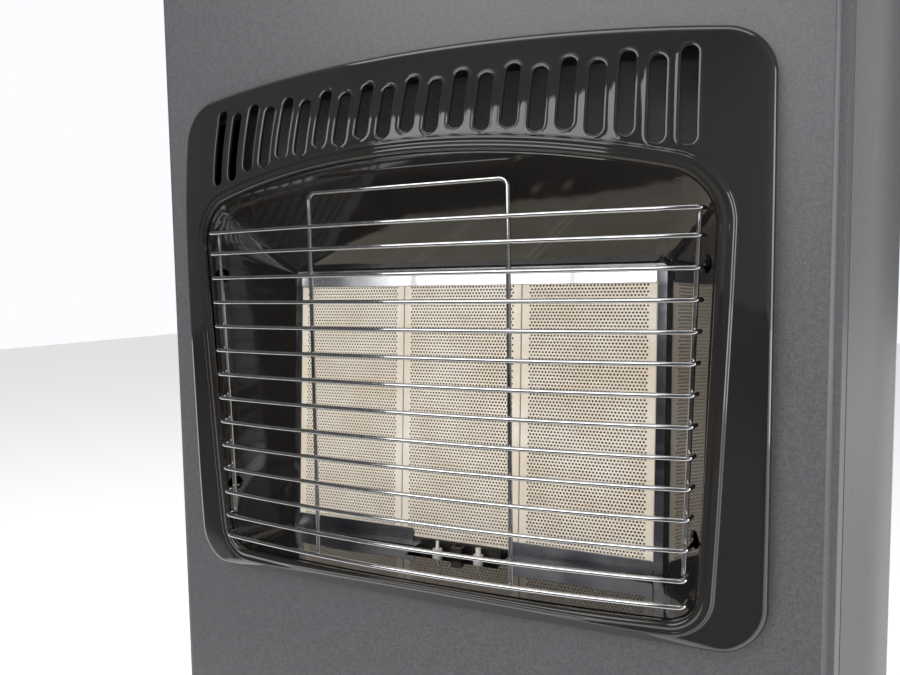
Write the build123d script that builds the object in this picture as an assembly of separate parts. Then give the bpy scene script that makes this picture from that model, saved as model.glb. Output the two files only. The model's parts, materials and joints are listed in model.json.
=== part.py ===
from build123d import *
import math
import os

os.makedirs("parts", exist_ok=True)

# Free-standing cabinet gas heater on castors, with a three-plaque radiant burner.
# Millimetres. +Z up, the front looks along -Y, origin on the floor under the middle of the cabinet.

# ---------------------------------------------------------------- driving dimensions
WIDTH = 480.0                 # over the side grips
DEPTH = 440.0                 # brow of the surround to the louvres of the rear cover
HEIGHT = 760.0                # floor to the top of the knob
SHEET = 1.2                   # pressed steel sheet
CLEAR = 0.3                   # gap between pieces that must not rub
RUN = 0.05                    # radial running clearance of a shaft in its hole

FRONT_Y = -DEPTH / 2
REAR_Y = DEPTH / 2
HEARTH_DROP = 320.0
HEARTH_Z = HEIGHT - HEARTH_DROP        # height of the guard's eighth bar, the datum of the radiant front
BEND_Y = FRONT_Y + 17.4                # plane of the guard's corner bends
PANEL_Y = BEND_Y + 27.0                # outer face of the front panel
PLAQUE_Y = BEND_Y + 53.9               # face of the plaques at the hearth height

# cabinet shell
GRIP_PROUD = 2.5                       # flange of a side grip outside the side panel
SIDE_X = WIDTH / 2 - GRIP_PROUD
LOUVRE_PROUD = 6.0
COVER_GAP = 0.8                        # play of the rear cover in its rails
SHELL_REAR_Y = REAR_Y - LOUVRE_PROUD - SHEET - COVER_GAP
BASE_Z = 72.0                          # underside of the base tray
TRAY_WALL = 30.0
PANEL_FOOT_Z = BASE_Z + 6.0
LID_HEIGHT = 44.0
PANEL_TOP_Z = HEIGHT - LID_HEIGHT
FLAT_HALF = SIDE_X - 37.5              # half width of the flat part of the front panel
RIB_STEPS = ((0.0, 0.0), (2.8, 4.0), (6.0, 4.5), (8.7, 11.0))
SIDE_STEPS = ((20.7, 31.0), (25.0, 37.0), (35.0, 58.0))
SPLAY_END = 15.0                       # length over which the splayed corner runs out into the side
SEAM_Y = PANEL_Y + RIB_STEPS[-1][1]    # seam between the front panel and a side panel
SEAM_GAP = 0.5
REAR_FLANGE = 32.0
TOP_RAIL_DEPTH = 20.0
TOP_RAIL_WEB = 32.0

# side grips
GRIP_LENGTH = 100.0
GRIP_HEIGHT = 92.0
GRIP_CORNER = 12.0
GRIP_Y = FRONT_Y + 176.0
GRIP_Z = PANEL_TOP_Z - 64.0
GRIP_DEPTH = 24.0
GRIP_FLANGE = 8.0
GRIP_WALL = 2.0
GRIP_EDGE = 1.5

# heat shield and cylinder bay
SHIELD_Y = FRONT_Y + 112.0             # front face of the heat shield before the cylinder bay
SHIELD_FLANGE = 11.0
SHIELD_FOOT_Z = HEARTH_Z - 230.0
BAY_PLAY = 7.0
CYLINDER_RADIUS = (SHELL_REAR_Y - SHIELD_Y) / 2 - BAY_PLAY
RING_WALL = 2.0
RING_HEIGHT = 6.0

# rear cover
COVER_HALF = SIDE_X - 10.5
COVER_FOOT_Z = PANEL_FOOT_Z + 2.0
COVER_TOP_Z = PANEL_TOP_Z - 26.0
RAIL_TOP_Z = PANEL_TOP_Z - 12.0
COVER_Y = SHELL_REAR_Y + COVER_GAP
RAIL_LIP_Y = COVER_Y + SHEET + COVER_GAP
RAIL_OVERLAP = 12.0
RAIL_INSET = 1.0                       # outer face of a rail inside the cabinet's side
FINGER_LENGTH = 100.0
FINGER_HEIGHT = 26.0
FINGER_DROP = 36.0
LOUVRE_COUNT = 6
LOUVRE_LENGTH = 120.0
LOUVRE_PITCH = 16.0
LOUVRE_GAP = 5.0
LOUVRE_THICK = 1.8
LOUVRE_X = 80.0
LOUVRE_FOOT_BANK = 50.0                # lower bank above the cover's foot
LOUVRE_TOP_BANK = 170.0                # upper bank below the cover's top

# surround
BEZEL_HALF = 176.6
BEZEL_TOP = 196.1                      # above the hearth, at the middle
BEZEL_TOP_SAG = 10.5
BEZEL_FOOT = 118.8                     # below the hearth, at the middle
BEZEL_FOOT_SAG = 3.9
BEZEL_CORNER = 25.0
BEZEL_LAP = 12.0                       # how far the surround laps the hole in the front panel
RIM_ROUND = 4.5                        # rolled outer edge of the surround
BEAD_WIDTH = 8.0
BEAD_HEIGHT = 2.6
BEAD_ROUND = 2.4
BEAD_MARGIN = 4.0
# height above the hearth, face before the bend plane at the middle, face behind it at the sides
FACE_STATIONS = (
    (BEZEL_TOP + 13.9, -9.0, 19.0),
    (BEZEL_TOP - 17.1, 2.3, 16.5),
    (BEZEL_TOP - 48.1, 13.0, 14.6),
    (104.0, 15.4, 12.3),
    (0.0, 10.0, 12.7),
    (-82.0, 4.7, 14.6),
    (-128.0, 0.0, 17.0),
)
FACE_MARGIN = 20.0                     # the face is drawn this far past the surround, then cut to its outline
FACE_FALL = 6.0                        # further back at that margin than at the sides
CHIN_DROP = 98.0                       # where the face starts to slope back to the lower edge
CHIN_PROUD = 2.5
CHIN_REACH = 60.0
SLOT_COUNT = 21
SLOT_MARGIN = 38.0
SLOT_PITCH = 2 * (BEZEL_HALF - SLOT_MARGIN) / (SLOT_COUNT - 1)
SLOT_WIDTH = 7.4
SLOT_TOP = BEZEL_TOP - 17.4
SLOT_STAGGER = 3.3
SLOT_FOOT = BEZEL_TOP - 47.6
SLOT_FOOT_SAG = 16.5

# funnel between the surround and the burner
MOUTH_PROUD = 28.3                     # flat front mouth before the bend plane, trimmed by the face
MOUTH_HALF_TOP = BEZEL_HALF - 5.1
MOUTH_HALF_FOOT = BEZEL_HALF - 11.6
MOUTH_TOP = BEZEL_TOP - 47.6
MOUTH_TOP_SAG = 9.5
MOUTH_FOOT = 99.5
MOUTH_FOOT_SAG = 5.0
MOUTH_CORNER_TOP = 36.0
MOUTH_CORNER_FOOT = 25.0
THROAT_CORNER = 4.0

# plaques and burner, in the burner's own leaning plane
LEAN = 4.0                             # degrees that the plaques lean back
PLAQUE_WIDTH = 78.0
PLAQUE_HEIGHT = 165.0
PLAQUE_THICK = 13.0
PLAQUE_EDGE = 0.8
PLAQUE_COUNT = 3
PLAQUE_SEAM = 0.8
PLAQUE_DROP = 8.5                      # centre of the plaques below the hearth height
SEAL_THICK = 2.0
SEAL_BORDER = 6.0
PLENUM_DEPTH = 16.0
PLENUM_BORDER = 5.0
BURNER_RIM = 7.0
THROAT_RIM = 6.4
STRIP_RIM = 4.0
STRIP_OVERLAP = 5.5
STRIP_CORNER = 1.5
BANK_HALF = (PLAQUE_COUNT * PLAQUE_WIDTH + (PLAQUE_COUNT - 1) * PLAQUE_SEAM) / 2
RIM_HALF = BANK_HALF + BURNER_RIM
THROAT_HALF = BANK_HALF + THROAT_RIM
PLAQUE_TOP_V = PLAQUE_HEIGHT / 2 - PLAQUE_DROP
PLAQUE_FOOT_V = -PLAQUE_HEIGHT / 2 - PLAQUE_DROP
THROAT_TOP = PLAQUE_TOP_V + THROAT_RIM
THROAT_FOOT = PLAQUE_FOOT_V - THROAT_RIM
BOX_WALL = 1.5
BOX_HALF = BANK_HALF + CLEAR + BOX_WALL
BOX_BACK = -PLAQUE_THICK - SEAL_THICK - PLENUM_DEPTH - BOX_WALL
BOX_FOOT = PLAQUE_FOOT_V - CLEAR - BOX_WALL

# guard
WIRE = 2.5
BAR_COUNT = 14
BAR_PITCH = 15.0
DATUM_BAR = 7                          # the bar that lies at the hearth height
BAR_TOP = 102.8
BAR_FOOT = -88.0
GUARD_HALF = BEZEL_HALF - 35.15
GUARD_TAPER = 0.033
GUARD_BOW = 10.6
BEND_RADIUS = 4.0
BEND_CUT = 0.6                         # share of a bend's radius that its straight chamfer takes
BOW_STEPS = 4
RETURN_OUT = 1.6
RETURN_BACK = 8.0
HOOK_BACK = 22.0
HOOK_BARS = (2, 11)
HOOK_HOLE = 4.5
HOOK_HOLE_BACK = 13.2
HOOK_SEAT = 1.8                        # centre of a hook hole above its wire
ROD_BACK = 7.5
ROD_FOOT = -75.0
WELD_OVERLAP = 0.95                    # share of the wire between the axes of two welded wires
BRACE_OVERLAP = 0.85
BRACE_HALF = 59.6
BRACE_OFFSET = -5.8
BRACE_TOP = 121.8
BRACE_CORNER = 6.6

# mixing tubes, jets and feed pipes
TUBE_RADIUS = 8.0
TUBE_BORE = 6.5
BELL_RADIUS = 12.5
BELL_LENGTH = 18.0
TUBE_LENGTH = 78.0
TUBE_W = -PLAQUE_THICK - SEAL_THICK - PLENUM_DEPTH / 2
MANIFOLD_Z = HEARTH_Z + BOX_FOOT - TUBE_LENGTH - 14.0
JET_RAIL_Z = MANIFOLD_Z + 6.0          # top face of the rail that carries the jets
JET_RAIL_FOOT_Z = MANIFOLD_Z - 18.0
JET_RAIL_MARGIN = 24.0
JET_RAIL_REACH = 8.0
JET_BLOCK_HALF_X = 7.0
JET_BLOCK_HALF_Y = 6.0
JET_BLOCK_FOOT_Z = MANIFOLD_Z - 8.0
JET_HEX = 6.0
JET_LENGTH = 8.0
JET_TIP = 2.0
PIPE_RADIUS = 3.0
PIPE_BEND = 10.0
PIPE_STEP = 8.0
PIPE_GAP = 3.0                         # inner pipe's axis outside the burner's rim
PIPE_MARGIN = 3.0                      # metal of the valve's foot round a pipe
PIPE_RUN_Z = MANIFOLD_Z - 24.0         # height of the highest pipe's run across
PILOT_PIPE_X = RIM_HALF + PIPE_GAP
PILOT_PIPE_RADIUS = 2.0
PILOT_PIPE_BEND = 8.0
PILOT_PIPE_DROP = 16.0

# pilot
PILOT_GAP_LEFT = -30.0
PILOT_GAP_RIGHT = 34.0
PILOT_MID = (PILOT_GAP_LEFT + PILOT_GAP_RIGHT) / 2
PILOT_NOTCH = 16.0                     # how far the funnel is cut back from the throat
PILOT_W = 8.0                          # pilot in front of the plaques' face
SHELF_V = PLAQUE_FOOT_V - 13.0
SHELF_MARGIN = 5.0
PILOT_HEX = 5.0
PILOT_BURNER_X = 3.5
IGNITION_X = -10.0
SENSOR_X = 17.0
IGNITION_STEPS = ((3.0, 10.0), (1.0, 5.0))
SENSOR_STEPS = ((3.0, 10.0), (1.6, 4.0))

# controls
KNOB_X = SIDE_X * 12 / 19
CONTROL_Y = FRONT_Y + 93.0
BUTTON_X = KNOB_X - 58.0
KNOB_RADIUS = 21.0
KNOB_HEIGHT = 15.0
KNOB_SKIRT = 4.0
KNOB_CROWN = 8.0
KNOB_GRIP = 11.0
KNOB_TRAVEL = 4.0
SPINDLE_RADIUS = 4.0
SPINDLE_FLAT = 1.2
FLAT_LENGTH = 18.0
BUTTON_RADIUS = 8.0
BUTTON_HEIGHT = 6.0
BUTTON_TRAVEL = 6.0
STEM_RADIUS = 5.0
STEM_LENGTH = 12.0
PIEZO_RADIUS = 9.5
PIEZO_LENGTH = 44.0
COLLAR_THICK = 2.0
COLLAR_LAP = 3.0
VALVE_TOP_Z = HEIGHT - 64.0
VALVE_FOOT_Z = VALVE_TOP_Z - 32.0
VALVE_HALF_X = 44.0
VALVE_HALF_Y = 14.0
NECK_RADIUS = 9.0
NECK_HEIGHT = 14.0
BRACKET_MARGIN = 6.0
BRACKET_LEG = 16.0
INLET_Z = VALVE_TOP_Z - 10.0
NOZZLE_RADIUS = 5.0
NOZZLE_RIB = 0.8
NOZZLE_RIB_PITCH = 6.0
NOZZLE_COLLAR = 7.0
SPINDLE_FOOT_Z = VALVE_FOOT_Z + 12.0
SPINDLE_TOP_Z = HEIGHT - 7.0

# lid
TOP_WALL = 2.2
TOP_ROUND = 9.0
POCKET_DEPTH = 22.0
POCKET_HALF_X = 78.0
POCKET_HALF_Y = 33.0
POCKET_X = KNOB_X - 28.0
POCKET_LEDGE = 12.0                    # ledge round the pocket's floor that the fascia lies on
POCKET_FLOOR_Z = HEIGHT - POCKET_DEPTH
FASCIA_THICK = 1.5
FASCIA_Z = POCKET_FLOOR_Z + FASCIA_THICK
KNOB_FOOT_Z = HEIGHT - KNOB_HEIGHT

# deflector behind the slots
DEFLECTOR_INSET = 16.0
DEFLECTOR_DEPTH = 22.0
DEFLECTOR_DROP = 90.0
DEFLECTOR_LIP = 12.0

# castors
WHEEL_RADIUS = 25.0
WHEEL_WIDTH = 18.0
TRAIL = 22.0
AXLE_RADIUS = 3.0
AXLE_FIT = 0.02
LEG_THICK = 3.0
LEG_GAP = 1.0
CROWN_RADIUS = 15.0
PLATE_SIZE = 54.0
PLATE_THICK = 2.5
CROWN_FOOT_Z = BASE_Z - 11.0
KING_RADIUS = 5.0
KING_HEAD_RADIUS = 8.0
KING_HEAD_THICK = 2.5
CASTOR_X = SIDE_X - 57.5
CASTOR_FRONT_Y = FRONT_Y + 108.0
CASTOR_REAR_Y = REAR_Y - 62.0


# ---------------------------------------------------------------- helpers
LOW = (Align.CENTER, Align.CENTER, Align.MIN)


def save(shape, node):
    export_step(shape, f"parts/{node}.step")


def facing(profile, y):
    """A profile drawn in X and Z, standing at depth y."""
    return Pos(0, y, 0) * (Plane.XZ * profile)


def slab(profile, y_front, y_back):
    """A profile drawn in X and Z, from y_front back to y_back."""
    return extrude(facing(profile, y_back), amount=y_back - y_front, dir=(0, -1, 0))


def across(profile, x0, x1):
    """A profile drawn in Y and Z, from x0 to x1."""
    return extrude(Pos(x0, 0, 0) * (Plane.YZ * profile), amount=x1 - x0, dir=(1, 0, 0))


def block(x0, x1, y0, y1, z0, z1):
    size = (x1 - x0, y1 - y0, z1 - z0)
    return Pos((x0 + x1) / 2, (y0 + y1) / 2, (z0 + z1) / 2) * Box(*size)


def tube_along(points, radius, bend):
    path = FilletPolyline(*points, radius=bend)
    return sweep(Plane(origin=path @ 0, z_dir=path % 0) * Circle(radius), path=path)


# ---------------------------------------------------------------- cabinet shell
def cabinet_plan(inset):
    """Plan of the cabinet: flat front, stepped ribs, splayed front corners, straight sides."""
    right = [(FLAT_HALF + dx, PANEL_Y + dy) for dx, dy in RIB_STEPS + SIDE_STEPS]
    right += [(SIDE_X, right[-1][1] + SPLAY_END), (SIDE_X, SHELL_REAR_Y)]
    left = [(-x, y) for x, y in reversed(right)]
    plan = make_face(Polyline(*right, *left, close=True))
    if inset:
        plan = offset(plan, amount=-inset, kind=Kind.INTERSECTION)
    return plan


def upright(plan, z0, z1):
    return extrude(Pos(0, 0, z0) * plan, amount=z1 - z0, dir=(0, 0, 1))


def shell_ring():
    return upright(cabinet_plan(0), PANEL_FOOT_Z, PANEL_TOP_Z) - upright(
        cabinet_plan(SHEET), PANEL_FOOT_Z - 1, PANEL_TOP_Z + 1
    )


def bezel_outline(inset):
    """Outer edge of the surround: both long edges are shallow arches."""
    half = BEZEL_HALF
    top = BEZEL_TOP + HEARTH_Z
    foot = HEARTH_Z - BEZEL_FOOT
    top_side = top - BEZEL_TOP_SAG
    foot_side = foot + BEZEL_FOOT_SAG
    face = make_face(
        [
            ThreePointArc((-half, foot_side), (0, foot), (half, foot_side)),
            Line((half, foot_side), (half, top_side)),
            ThreePointArc((half, top_side), (0, top), (-half, top_side)),
            Line((-half, top_side), (-half, foot_side)),
        ]
    )
    face = fillet(face.vertices(), BEZEL_CORNER)
    if inset:
        face = offset(face, amount=-inset)
    return face


def front_panel():
    cut = slab(bezel_outline(BEZEL_LAP), PANEL_Y - 5, PANEL_Y + 20)
    front = block(-WIDTH, WIDTH, PANEL_Y - 5, SEAM_Y, 0, HEIGHT)
    return (shell_ring() & front) - cut


def grip_profile(size):
    return RectangleRounded(GRIP_LENGTH + size, GRIP_HEIGHT + size, GRIP_CORNER + size / 2)


def side_panel(side):
    keep = block(SIDE_X - REAR_FLANGE, SIDE_X + 5, SEAM_Y + SEAM_GAP, REAR_Y, 0, HEIGHT)
    panel = shell_ring() & keep
    hole = Pos(SIDE_X, GRIP_Y, GRIP_Z) * Rot(0, 90, 0) * Rot(0, 0, 90) * grip_profile(CLEAR)
    panel -= extrude(hole, amount=GRIP_DEPTH, both=True)
    return panel if side > 0 else mirror(panel, Plane.YZ)


def side_grip(side):
    """Moulded cup with a flange that laps the side panel, and a finger lip behind the flange."""
    face = Pos(SIDE_X, GRIP_Y, GRIP_Z) * Rot(0, 90, 0) * Rot(0, 0, 90)
    flange = extrude(face * grip_profile(2 * GRIP_FLANGE), amount=GRIP_PROUD)
    flange = fillet(flange.faces().sort_by(Axis.X)[-1].edges(), GRIP_EDGE)
    cup = extrude(face * grip_profile(0), amount=-GRIP_DEPTH)
    hollow = Pos(-GRIP_DEPTH + GRIP_WALL, 0, 0) * extrude(
        face * grip_profile(-2 * GRIP_WALL), amount=GRIP_DEPTH + 10
    )
    grip = flange + cup - hollow
    return grip if side > 0 else mirror(grip, Plane.YZ)


def base_tray():
    """Tray with an upturned wall inside the panels, and a raised ring that centres the cylinder."""
    wall_top = BASE_Z + TRAY_WALL
    tray = upright(cabinet_plan(SHEET), BASE_Z, wall_top)
    tray -= upright(cabinet_plan(2 * SHEET), BASE_Z + SHEET, wall_top + 1)
    ring_centre = Pos(0, (SHIELD_Y + SHELL_REAR_Y) / 2, BASE_Z + SHEET)
    ring = ring_centre * Cylinder(CYLINDER_RADIUS + 1.0 + RING_WALL, RING_HEIGHT, align=LOW)
    ring -= ring_centre * Cylinder(CYLINDER_RADIUS + 1.0, 3 * RING_HEIGHT)
    return tray + ring


def top_rail():
    """Cross rail behind the top cover, joining the side panels above the rear opening."""
    half = SIDE_X - REAR_FLANGE
    rear = SHELL_REAR_Y
    web = block(-half, half, rear - SHEET, rear, PANEL_TOP_Z - TOP_RAIL_WEB, PANEL_TOP_Z)
    flange = block(-half, half, rear - TOP_RAIL_DEPTH, rear, PANEL_TOP_Z - SHEET, PANEL_TOP_Z)
    return web + flange


def heat_shield():
    """Sheet between the burner and the cylinder bay: side flanges folded back, the foot folded forwards."""
    half = SIDE_X - SHEET
    back = SHIELD_Y + SHEET
    web = block(-half, half, SHIELD_Y, back, SHIELD_FOOT_Z, PANEL_TOP_Z)
    for x in (-half, half - SHEET):
        web += block(x, x + SHEET, SHIELD_Y, SHIELD_Y + SHIELD_FLANGE, SHIELD_FOOT_Z, PANEL_TOP_Z)
    web += block(-half, half, SHIELD_Y - SHIELD_FLANGE, back, SHIELD_FOOT_Z, SHIELD_FOOT_Z + SHEET)
    web -= Pos(KNOB_X, SHIELD_Y, INLET_Z) * Rot(90, 0, 0) * Cylinder(NOZZLE_COLLAR + 1.0, 10.0)
    return web & upright(cabinet_plan(SHEET), 0, HEIGHT)


# ---------------------------------------------------------------- rear cover and its rails


def rear_rails():
    """Two channels, closed at the foot, that the rear cover drops into."""
    rails = []
    for side in (-1, 1):
        lip = sorted((side * (COVER_HALF - RAIL_OVERLAP), side * (SIDE_X - RAIL_INSET)))
        web = sorted((side * (COVER_HALF + COVER_GAP), side * (SIDE_X - RAIL_INSET)))
        rail = block(lip[0], lip[1], RAIL_LIP_Y, RAIL_LIP_Y + SHEET, PANEL_FOOT_Z, RAIL_TOP_Z)
        rail += block(web[0], web[1], SHELL_REAR_Y, RAIL_LIP_Y, PANEL_FOOT_Z, RAIL_TOP_Z)
        rail += block(lip[0], lip[1], SHELL_REAR_Y, RAIL_LIP_Y, PANEL_FOOT_Z, COVER_FOOT_Z)
        rails.append(rail)
    return Compound(children=rails)


def louvre(x, z):
    """One louvre: a blade pressed outwards and down over its gap, from the sheet above the gap."""
    root = COVER_Y + SHEET / 4
    tip = COVER_Y + SHEET + LOUVRE_PROUD
    top = z + LOUVRE_GAP
    outline = [(root, top + 2.2), (root, top + 2.2 - LOUVRE_THICK), (tip, z - 0.8), (tip, z + 0.8)]
    return across(make_face(Polyline(*outline, close=True)), x - LOUVRE_LENGTH / 2, x + LOUVRE_LENGTH / 2)


def rear_cover():
    """Lift-out sheet with banks of louvres, and a finger hole near its top edge."""
    cover = block(-COVER_HALF, COVER_HALF, COVER_Y, COVER_Y + SHEET, COVER_FOOT_Z, COVER_TOP_Z)
    finger_hole = Pos(0, COVER_TOP_Z - FINGER_DROP) * SlotOverall(FINGER_LENGTH, FINGER_HEIGHT)
    cover -= slab(finger_hole, COVER_Y - 5, COVER_Y + 5)
    half = LOUVRE_LENGTH / 2
    for bank_z in (COVER_FOOT_Z + LOUVRE_FOOT_BANK, COVER_TOP_Z - LOUVRE_TOP_BANK):
        for row in range(LOUVRE_COUNT):
            z = bank_z + row * LOUVRE_PITCH
            for x in (-LOUVRE_X, LOUVRE_X):
                cover -= block(x - half, x + half, COVER_Y - 1, COVER_Y + SHEET + 1, z, z + LOUVRE_GAP)
                cover += louvre(x, z)
    return cover


# ---------------------------------------------------------------- surround and funnel
def face_block(drop):
    """Everything behind the domed face; drop moves the face back."""
    edge = BEZEL_HALF + FACE_MARGIN
    sections = []
    for height, proud, side in FACE_STATIONS:
        z = HEARTH_Z + height
        y_mid = BEND_Y - proud + drop
        y_edge = BEND_Y + side + FACE_FALL + drop
        arc = ThreePointArc((-edge, y_edge, z), (0, y_mid, z), (edge, y_edge, z))
        back = Polyline((edge, y_edge, z), (edge, 0, z), (-edge, 0, z), (-edge, y_edge, z))
        sections.append(Face(Wire([arc.edge()] + back.edges())))
    dome = loft(sections)
    chin_z = HEARTH_Z - CHIN_DROP
    chin_y = BEND_Y - CHIN_PROUD + drop
    foot_z = HEARTH_Z - BEZEL_FOOT - CHIN_REACH / 6
    slope_y = chin_y + chin_z - foot_z
    above = (chin_y - CHIN_REACH, chin_z + CHIN_REACH)
    wedge = make_face(Polyline(above, (slope_y, foot_z), (chin_y - CHIN_REACH, foot_z), close=True))
    return dome - across(wedge, -WIDTH, WIDTH)


def surround_form(drop):
    """Solid form of the surround with its rolled rim, down to the front panel."""
    form = slab(bezel_outline(drop), FRONT_Y - FACE_MARGIN, PANEL_Y) & face_block(drop)
    rim = form.edges().filter_by(lambda edge: edge.bounding_box().max.Y < PANEL_Y - 1)
    return fillet(rim, RIM_ROUND - drop)


def bead():
    """Raised bead round the mouth of the funnel, before the mouth is cut through it."""
    form = slab(bezel_outline(BEAD_MARGIN), FRONT_Y - FACE_MARGIN, PANEL_Y)
    form &= face_block(-BEAD_HEIGHT)
    form &= funnel_form(BEAD_WIDTH)
    crest = form.edges().filter_by(lambda edge: edge.bounding_box().max.Y < BEND_Y + FACE_STATIONS[2][2])
    return fillet(crest, BEAD_ROUND) - face_block(SHEET)


def mouth_face(outset):
    """Flat mouth of the funnel, before it is trimmed by the domed face."""
    top = HEARTH_Z + MOUTH_TOP + outset
    foot = HEARTH_Z - MOUTH_FOOT - outset
    half_top = MOUTH_HALF_TOP + outset
    half_foot = MOUTH_HALF_FOOT + outset
    top_side = top - MOUTH_TOP_SAG
    foot_side = foot - MOUTH_FOOT_SAG
    face = make_face(
        [
            ThreePointArc((-half_foot, foot_side), (0, foot), (half_foot, foot_side)),
            Line((half_foot, foot_side), (half_top, top_side)),
            ThreePointArc((half_top, top_side), (0, top), (-half_top, top_side)),
            Line((-half_top, top_side), (-half_foot, foot_side)),
        ]
    )
    upper = face.vertices().sort_by(Axis.Y)[-2:]
    face = fillet(upper, MOUTH_CORNER_TOP + outset)
    lower = face.vertices().sort_by(Axis.Y)[:2]
    face = fillet(lower, MOUTH_CORNER_FOOT + outset)
    return facing(face, BEND_Y - MOUTH_PROUD)


BURNER_PLANE = Plane(
    origin=(0, PLAQUE_Y, HEARTH_Z),
    x_dir=(1, 0, 0),
    z_dir=(0, -math.cos(math.radians(LEAN)), math.sin(math.radians(LEAN))),
)


def throat_face(outset):
    """Rear end of the funnel, a rectangle that frames the plaques."""
    face = Pos(0, (THROAT_TOP + THROAT_FOOT) / 2, 0) * RectangleRounded(
        2 * (THROAT_HALF + outset), THROAT_TOP - THROAT_FOOT + 2 * outset, THROAT_CORNER + outset
    )
    return BURNER_PLANE * face


def funnel_form(outset):
    return loft([mouth_face(outset), throat_face(outset)], ruled=True)


def bezel():
    """Domed surround pressed from one sheet, with staggered slots above the arched mouth."""
    shell = surround_form(0) - surround_form(SHEET) + bead()
    span = SLOT_PITCH * (SLOT_COUNT - 1) / 2
    for index in range(SLOT_COUNT):
        x = index * SLOT_PITCH - span
        low = SLOT_STAGGER if index % 2 else 0.0
        top = HEARTH_Z + SLOT_TOP - low
        foot = HEARTH_Z + SLOT_FOOT - low / 2 - SLOT_FOOT_SAG * (x / span) ** 2
        slot = Pos(x, (top + foot) / 2) * Rot(0, 0, 90) * SlotOverall(top - foot, SLOT_WIDTH)
        shell -= slab(slot, FRONT_Y - FACE_MARGIN, PANEL_Y)
    return shell - funnel_form(-SHEET)


def reflector():
    """Funnel of enamelled sheet behind the surround, with holes for the guard's hooks and the pilot."""
    funnel = funnel_form(0) - funnel_form(-SHEET)
    funnel &= face_block(SHEET + CLEAR)
    for bar in HOOK_BARS:
        z = HEARTH_Z + bar_height(bar) + HOOK_SEAT
        funnel -= Pos(0, BEND_Y + HOOK_HOLE_BACK, z) * Rot(0, 90, 0) * Cylinder(HOOK_HOLE, 2 * WIDTH)
    notch = Box(PILOT_GAP_RIGHT - PILOT_GAP_LEFT - 4.0, PILOT_NOTCH, 2 * PILOT_NOTCH)
    return funnel - in_burner(PILOT_MID, THROAT_FOOT, 0, notch)


# ---------------------------------------------------------------- guard


def bar_height(index):
    if index == 0:
        return BAR_TOP
    if index == BAR_COUNT - 1:
        return BAR_FOOT
    return (DATUM_BAR - index) * BAR_PITCH


def guard_half(height):
    return GUARD_HALF + GUARD_TAPER * height


def bow(x, half):
    """How far a bar stands before the bend plane at x."""
    return GUARD_BOW * (1 - (x / half) ** 2)


def drawn_wire(points):
    """Thin drawn wire along a run of short straight lengths, in an eight-sided section."""
    path = Polyline(*points)
    section = RegularPolygon(WIRE / 2, 8)
    return sweep(Plane(origin=path @ 0, z_dir=path % 0) * section, path=path, transition=Transition.RIGHT)


def guard_bar(index):
    height = bar_height(index)
    z = HEARTH_Z + height
    half = guard_half(height)
    back = HOOK_BACK if index in HOOK_BARS else RETURN_BACK
    out = RETURN_OUT * back / RETURN_BACK
    corner = BEND_RADIUS * BEND_CUT
    steps = [half * step / BOW_STEPS for step in range(1, BOW_STEPS)]
    right = [(x, BEND_Y - bow(x, half), z) for x in steps]
    right.append((half - corner, BEND_Y - bow(half - corner, half), z))
    right.append((half + RETURN_OUT * corner / RETURN_BACK, BEND_Y + corner, z))
    right.append((half + out, BEND_Y + back, z))
    left = [(-x, y, z) for x, y, z in reversed(right)]
    return drawn_wire(left + [(0, BEND_Y - GUARD_BOW, z)] + right)


def wire_guard():
    guard = guard_bar(0)
    for index in range(1, BAR_COUNT):
        guard += guard_bar(index)
    rod_y = BEND_Y + ROD_BACK
    rod_in = RETURN_OUT * ROD_BACK / RETURN_BACK - WIRE * WELD_OVERLAP
    for side in (-1, 1):
        top = (side * (guard_half(BAR_TOP) + rod_in), rod_y, HEARTH_Z + BAR_TOP)
        foot = (side * (guard_half(ROD_FOOT) + rod_in), rod_y, HEARTH_Z + ROD_FOOT)
        guard += drawn_wire([top, foot])
    brace_y = BEND_Y - bow(BRACE_HALF, GUARD_HALF) + WIRE * BRACE_OVERLAP
    left = BRACE_OFFSET - BRACE_HALF
    right = BRACE_OFFSET + BRACE_HALF
    top = HEARTH_Z + BRACE_TOP
    foot = HEARTH_Z + BAR_FOOT
    cut = BRACE_CORNER * BEND_CUT
    points = [
        (left, brace_y, foot),
        (left, brace_y, top - cut),
        (left + cut, brace_y, top),
        (right - cut, brace_y, top),
        (right, brace_y, top - cut),
        (right, brace_y, foot),
    ]
    return guard + drawn_wire(points)


# ---------------------------------------------------------------- burner
def in_burner(x, v, w, shape):
    """Places a shape by its place in the leaning burner plane: across, up, and towards the front."""
    return BURNER_PLANE * Pos(x, v, w) * shape


def plaque_x(index):
    return (index - (PLAQUE_COUNT - 1) / 2) * (PLAQUE_WIDTH + PLAQUE_SEAM)


def plaque(index):
    body = Box(PLAQUE_WIDTH, PLAQUE_HEIGHT, PLAQUE_THICK)
    body = chamfer(body.faces().sort_by(Axis.Z)[-1].edges(), PLAQUE_EDGE)
    return in_burner(plaque_x(index), -PLAQUE_DROP, -PLAQUE_THICK / 2, body)


def plaque_seal():
    """Fibre sheet between the plaques and the burner box, with a window behind each plaque."""
    seal = Box(2 * BANK_HALF, PLAQUE_HEIGHT, SEAL_THICK)
    window = Box(PLAQUE_WIDTH - 2 * SEAL_BORDER, PLAQUE_HEIGHT - 2 * SEAL_BORDER, 10.0)
    for index in range(PLAQUE_COUNT):
        seal -= Pos(plaque_x(index), 0, 0) * window
    return in_burner(0, -PLAQUE_DROP, -PLAQUE_THICK - SEAL_THICK / 2, seal)


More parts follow.
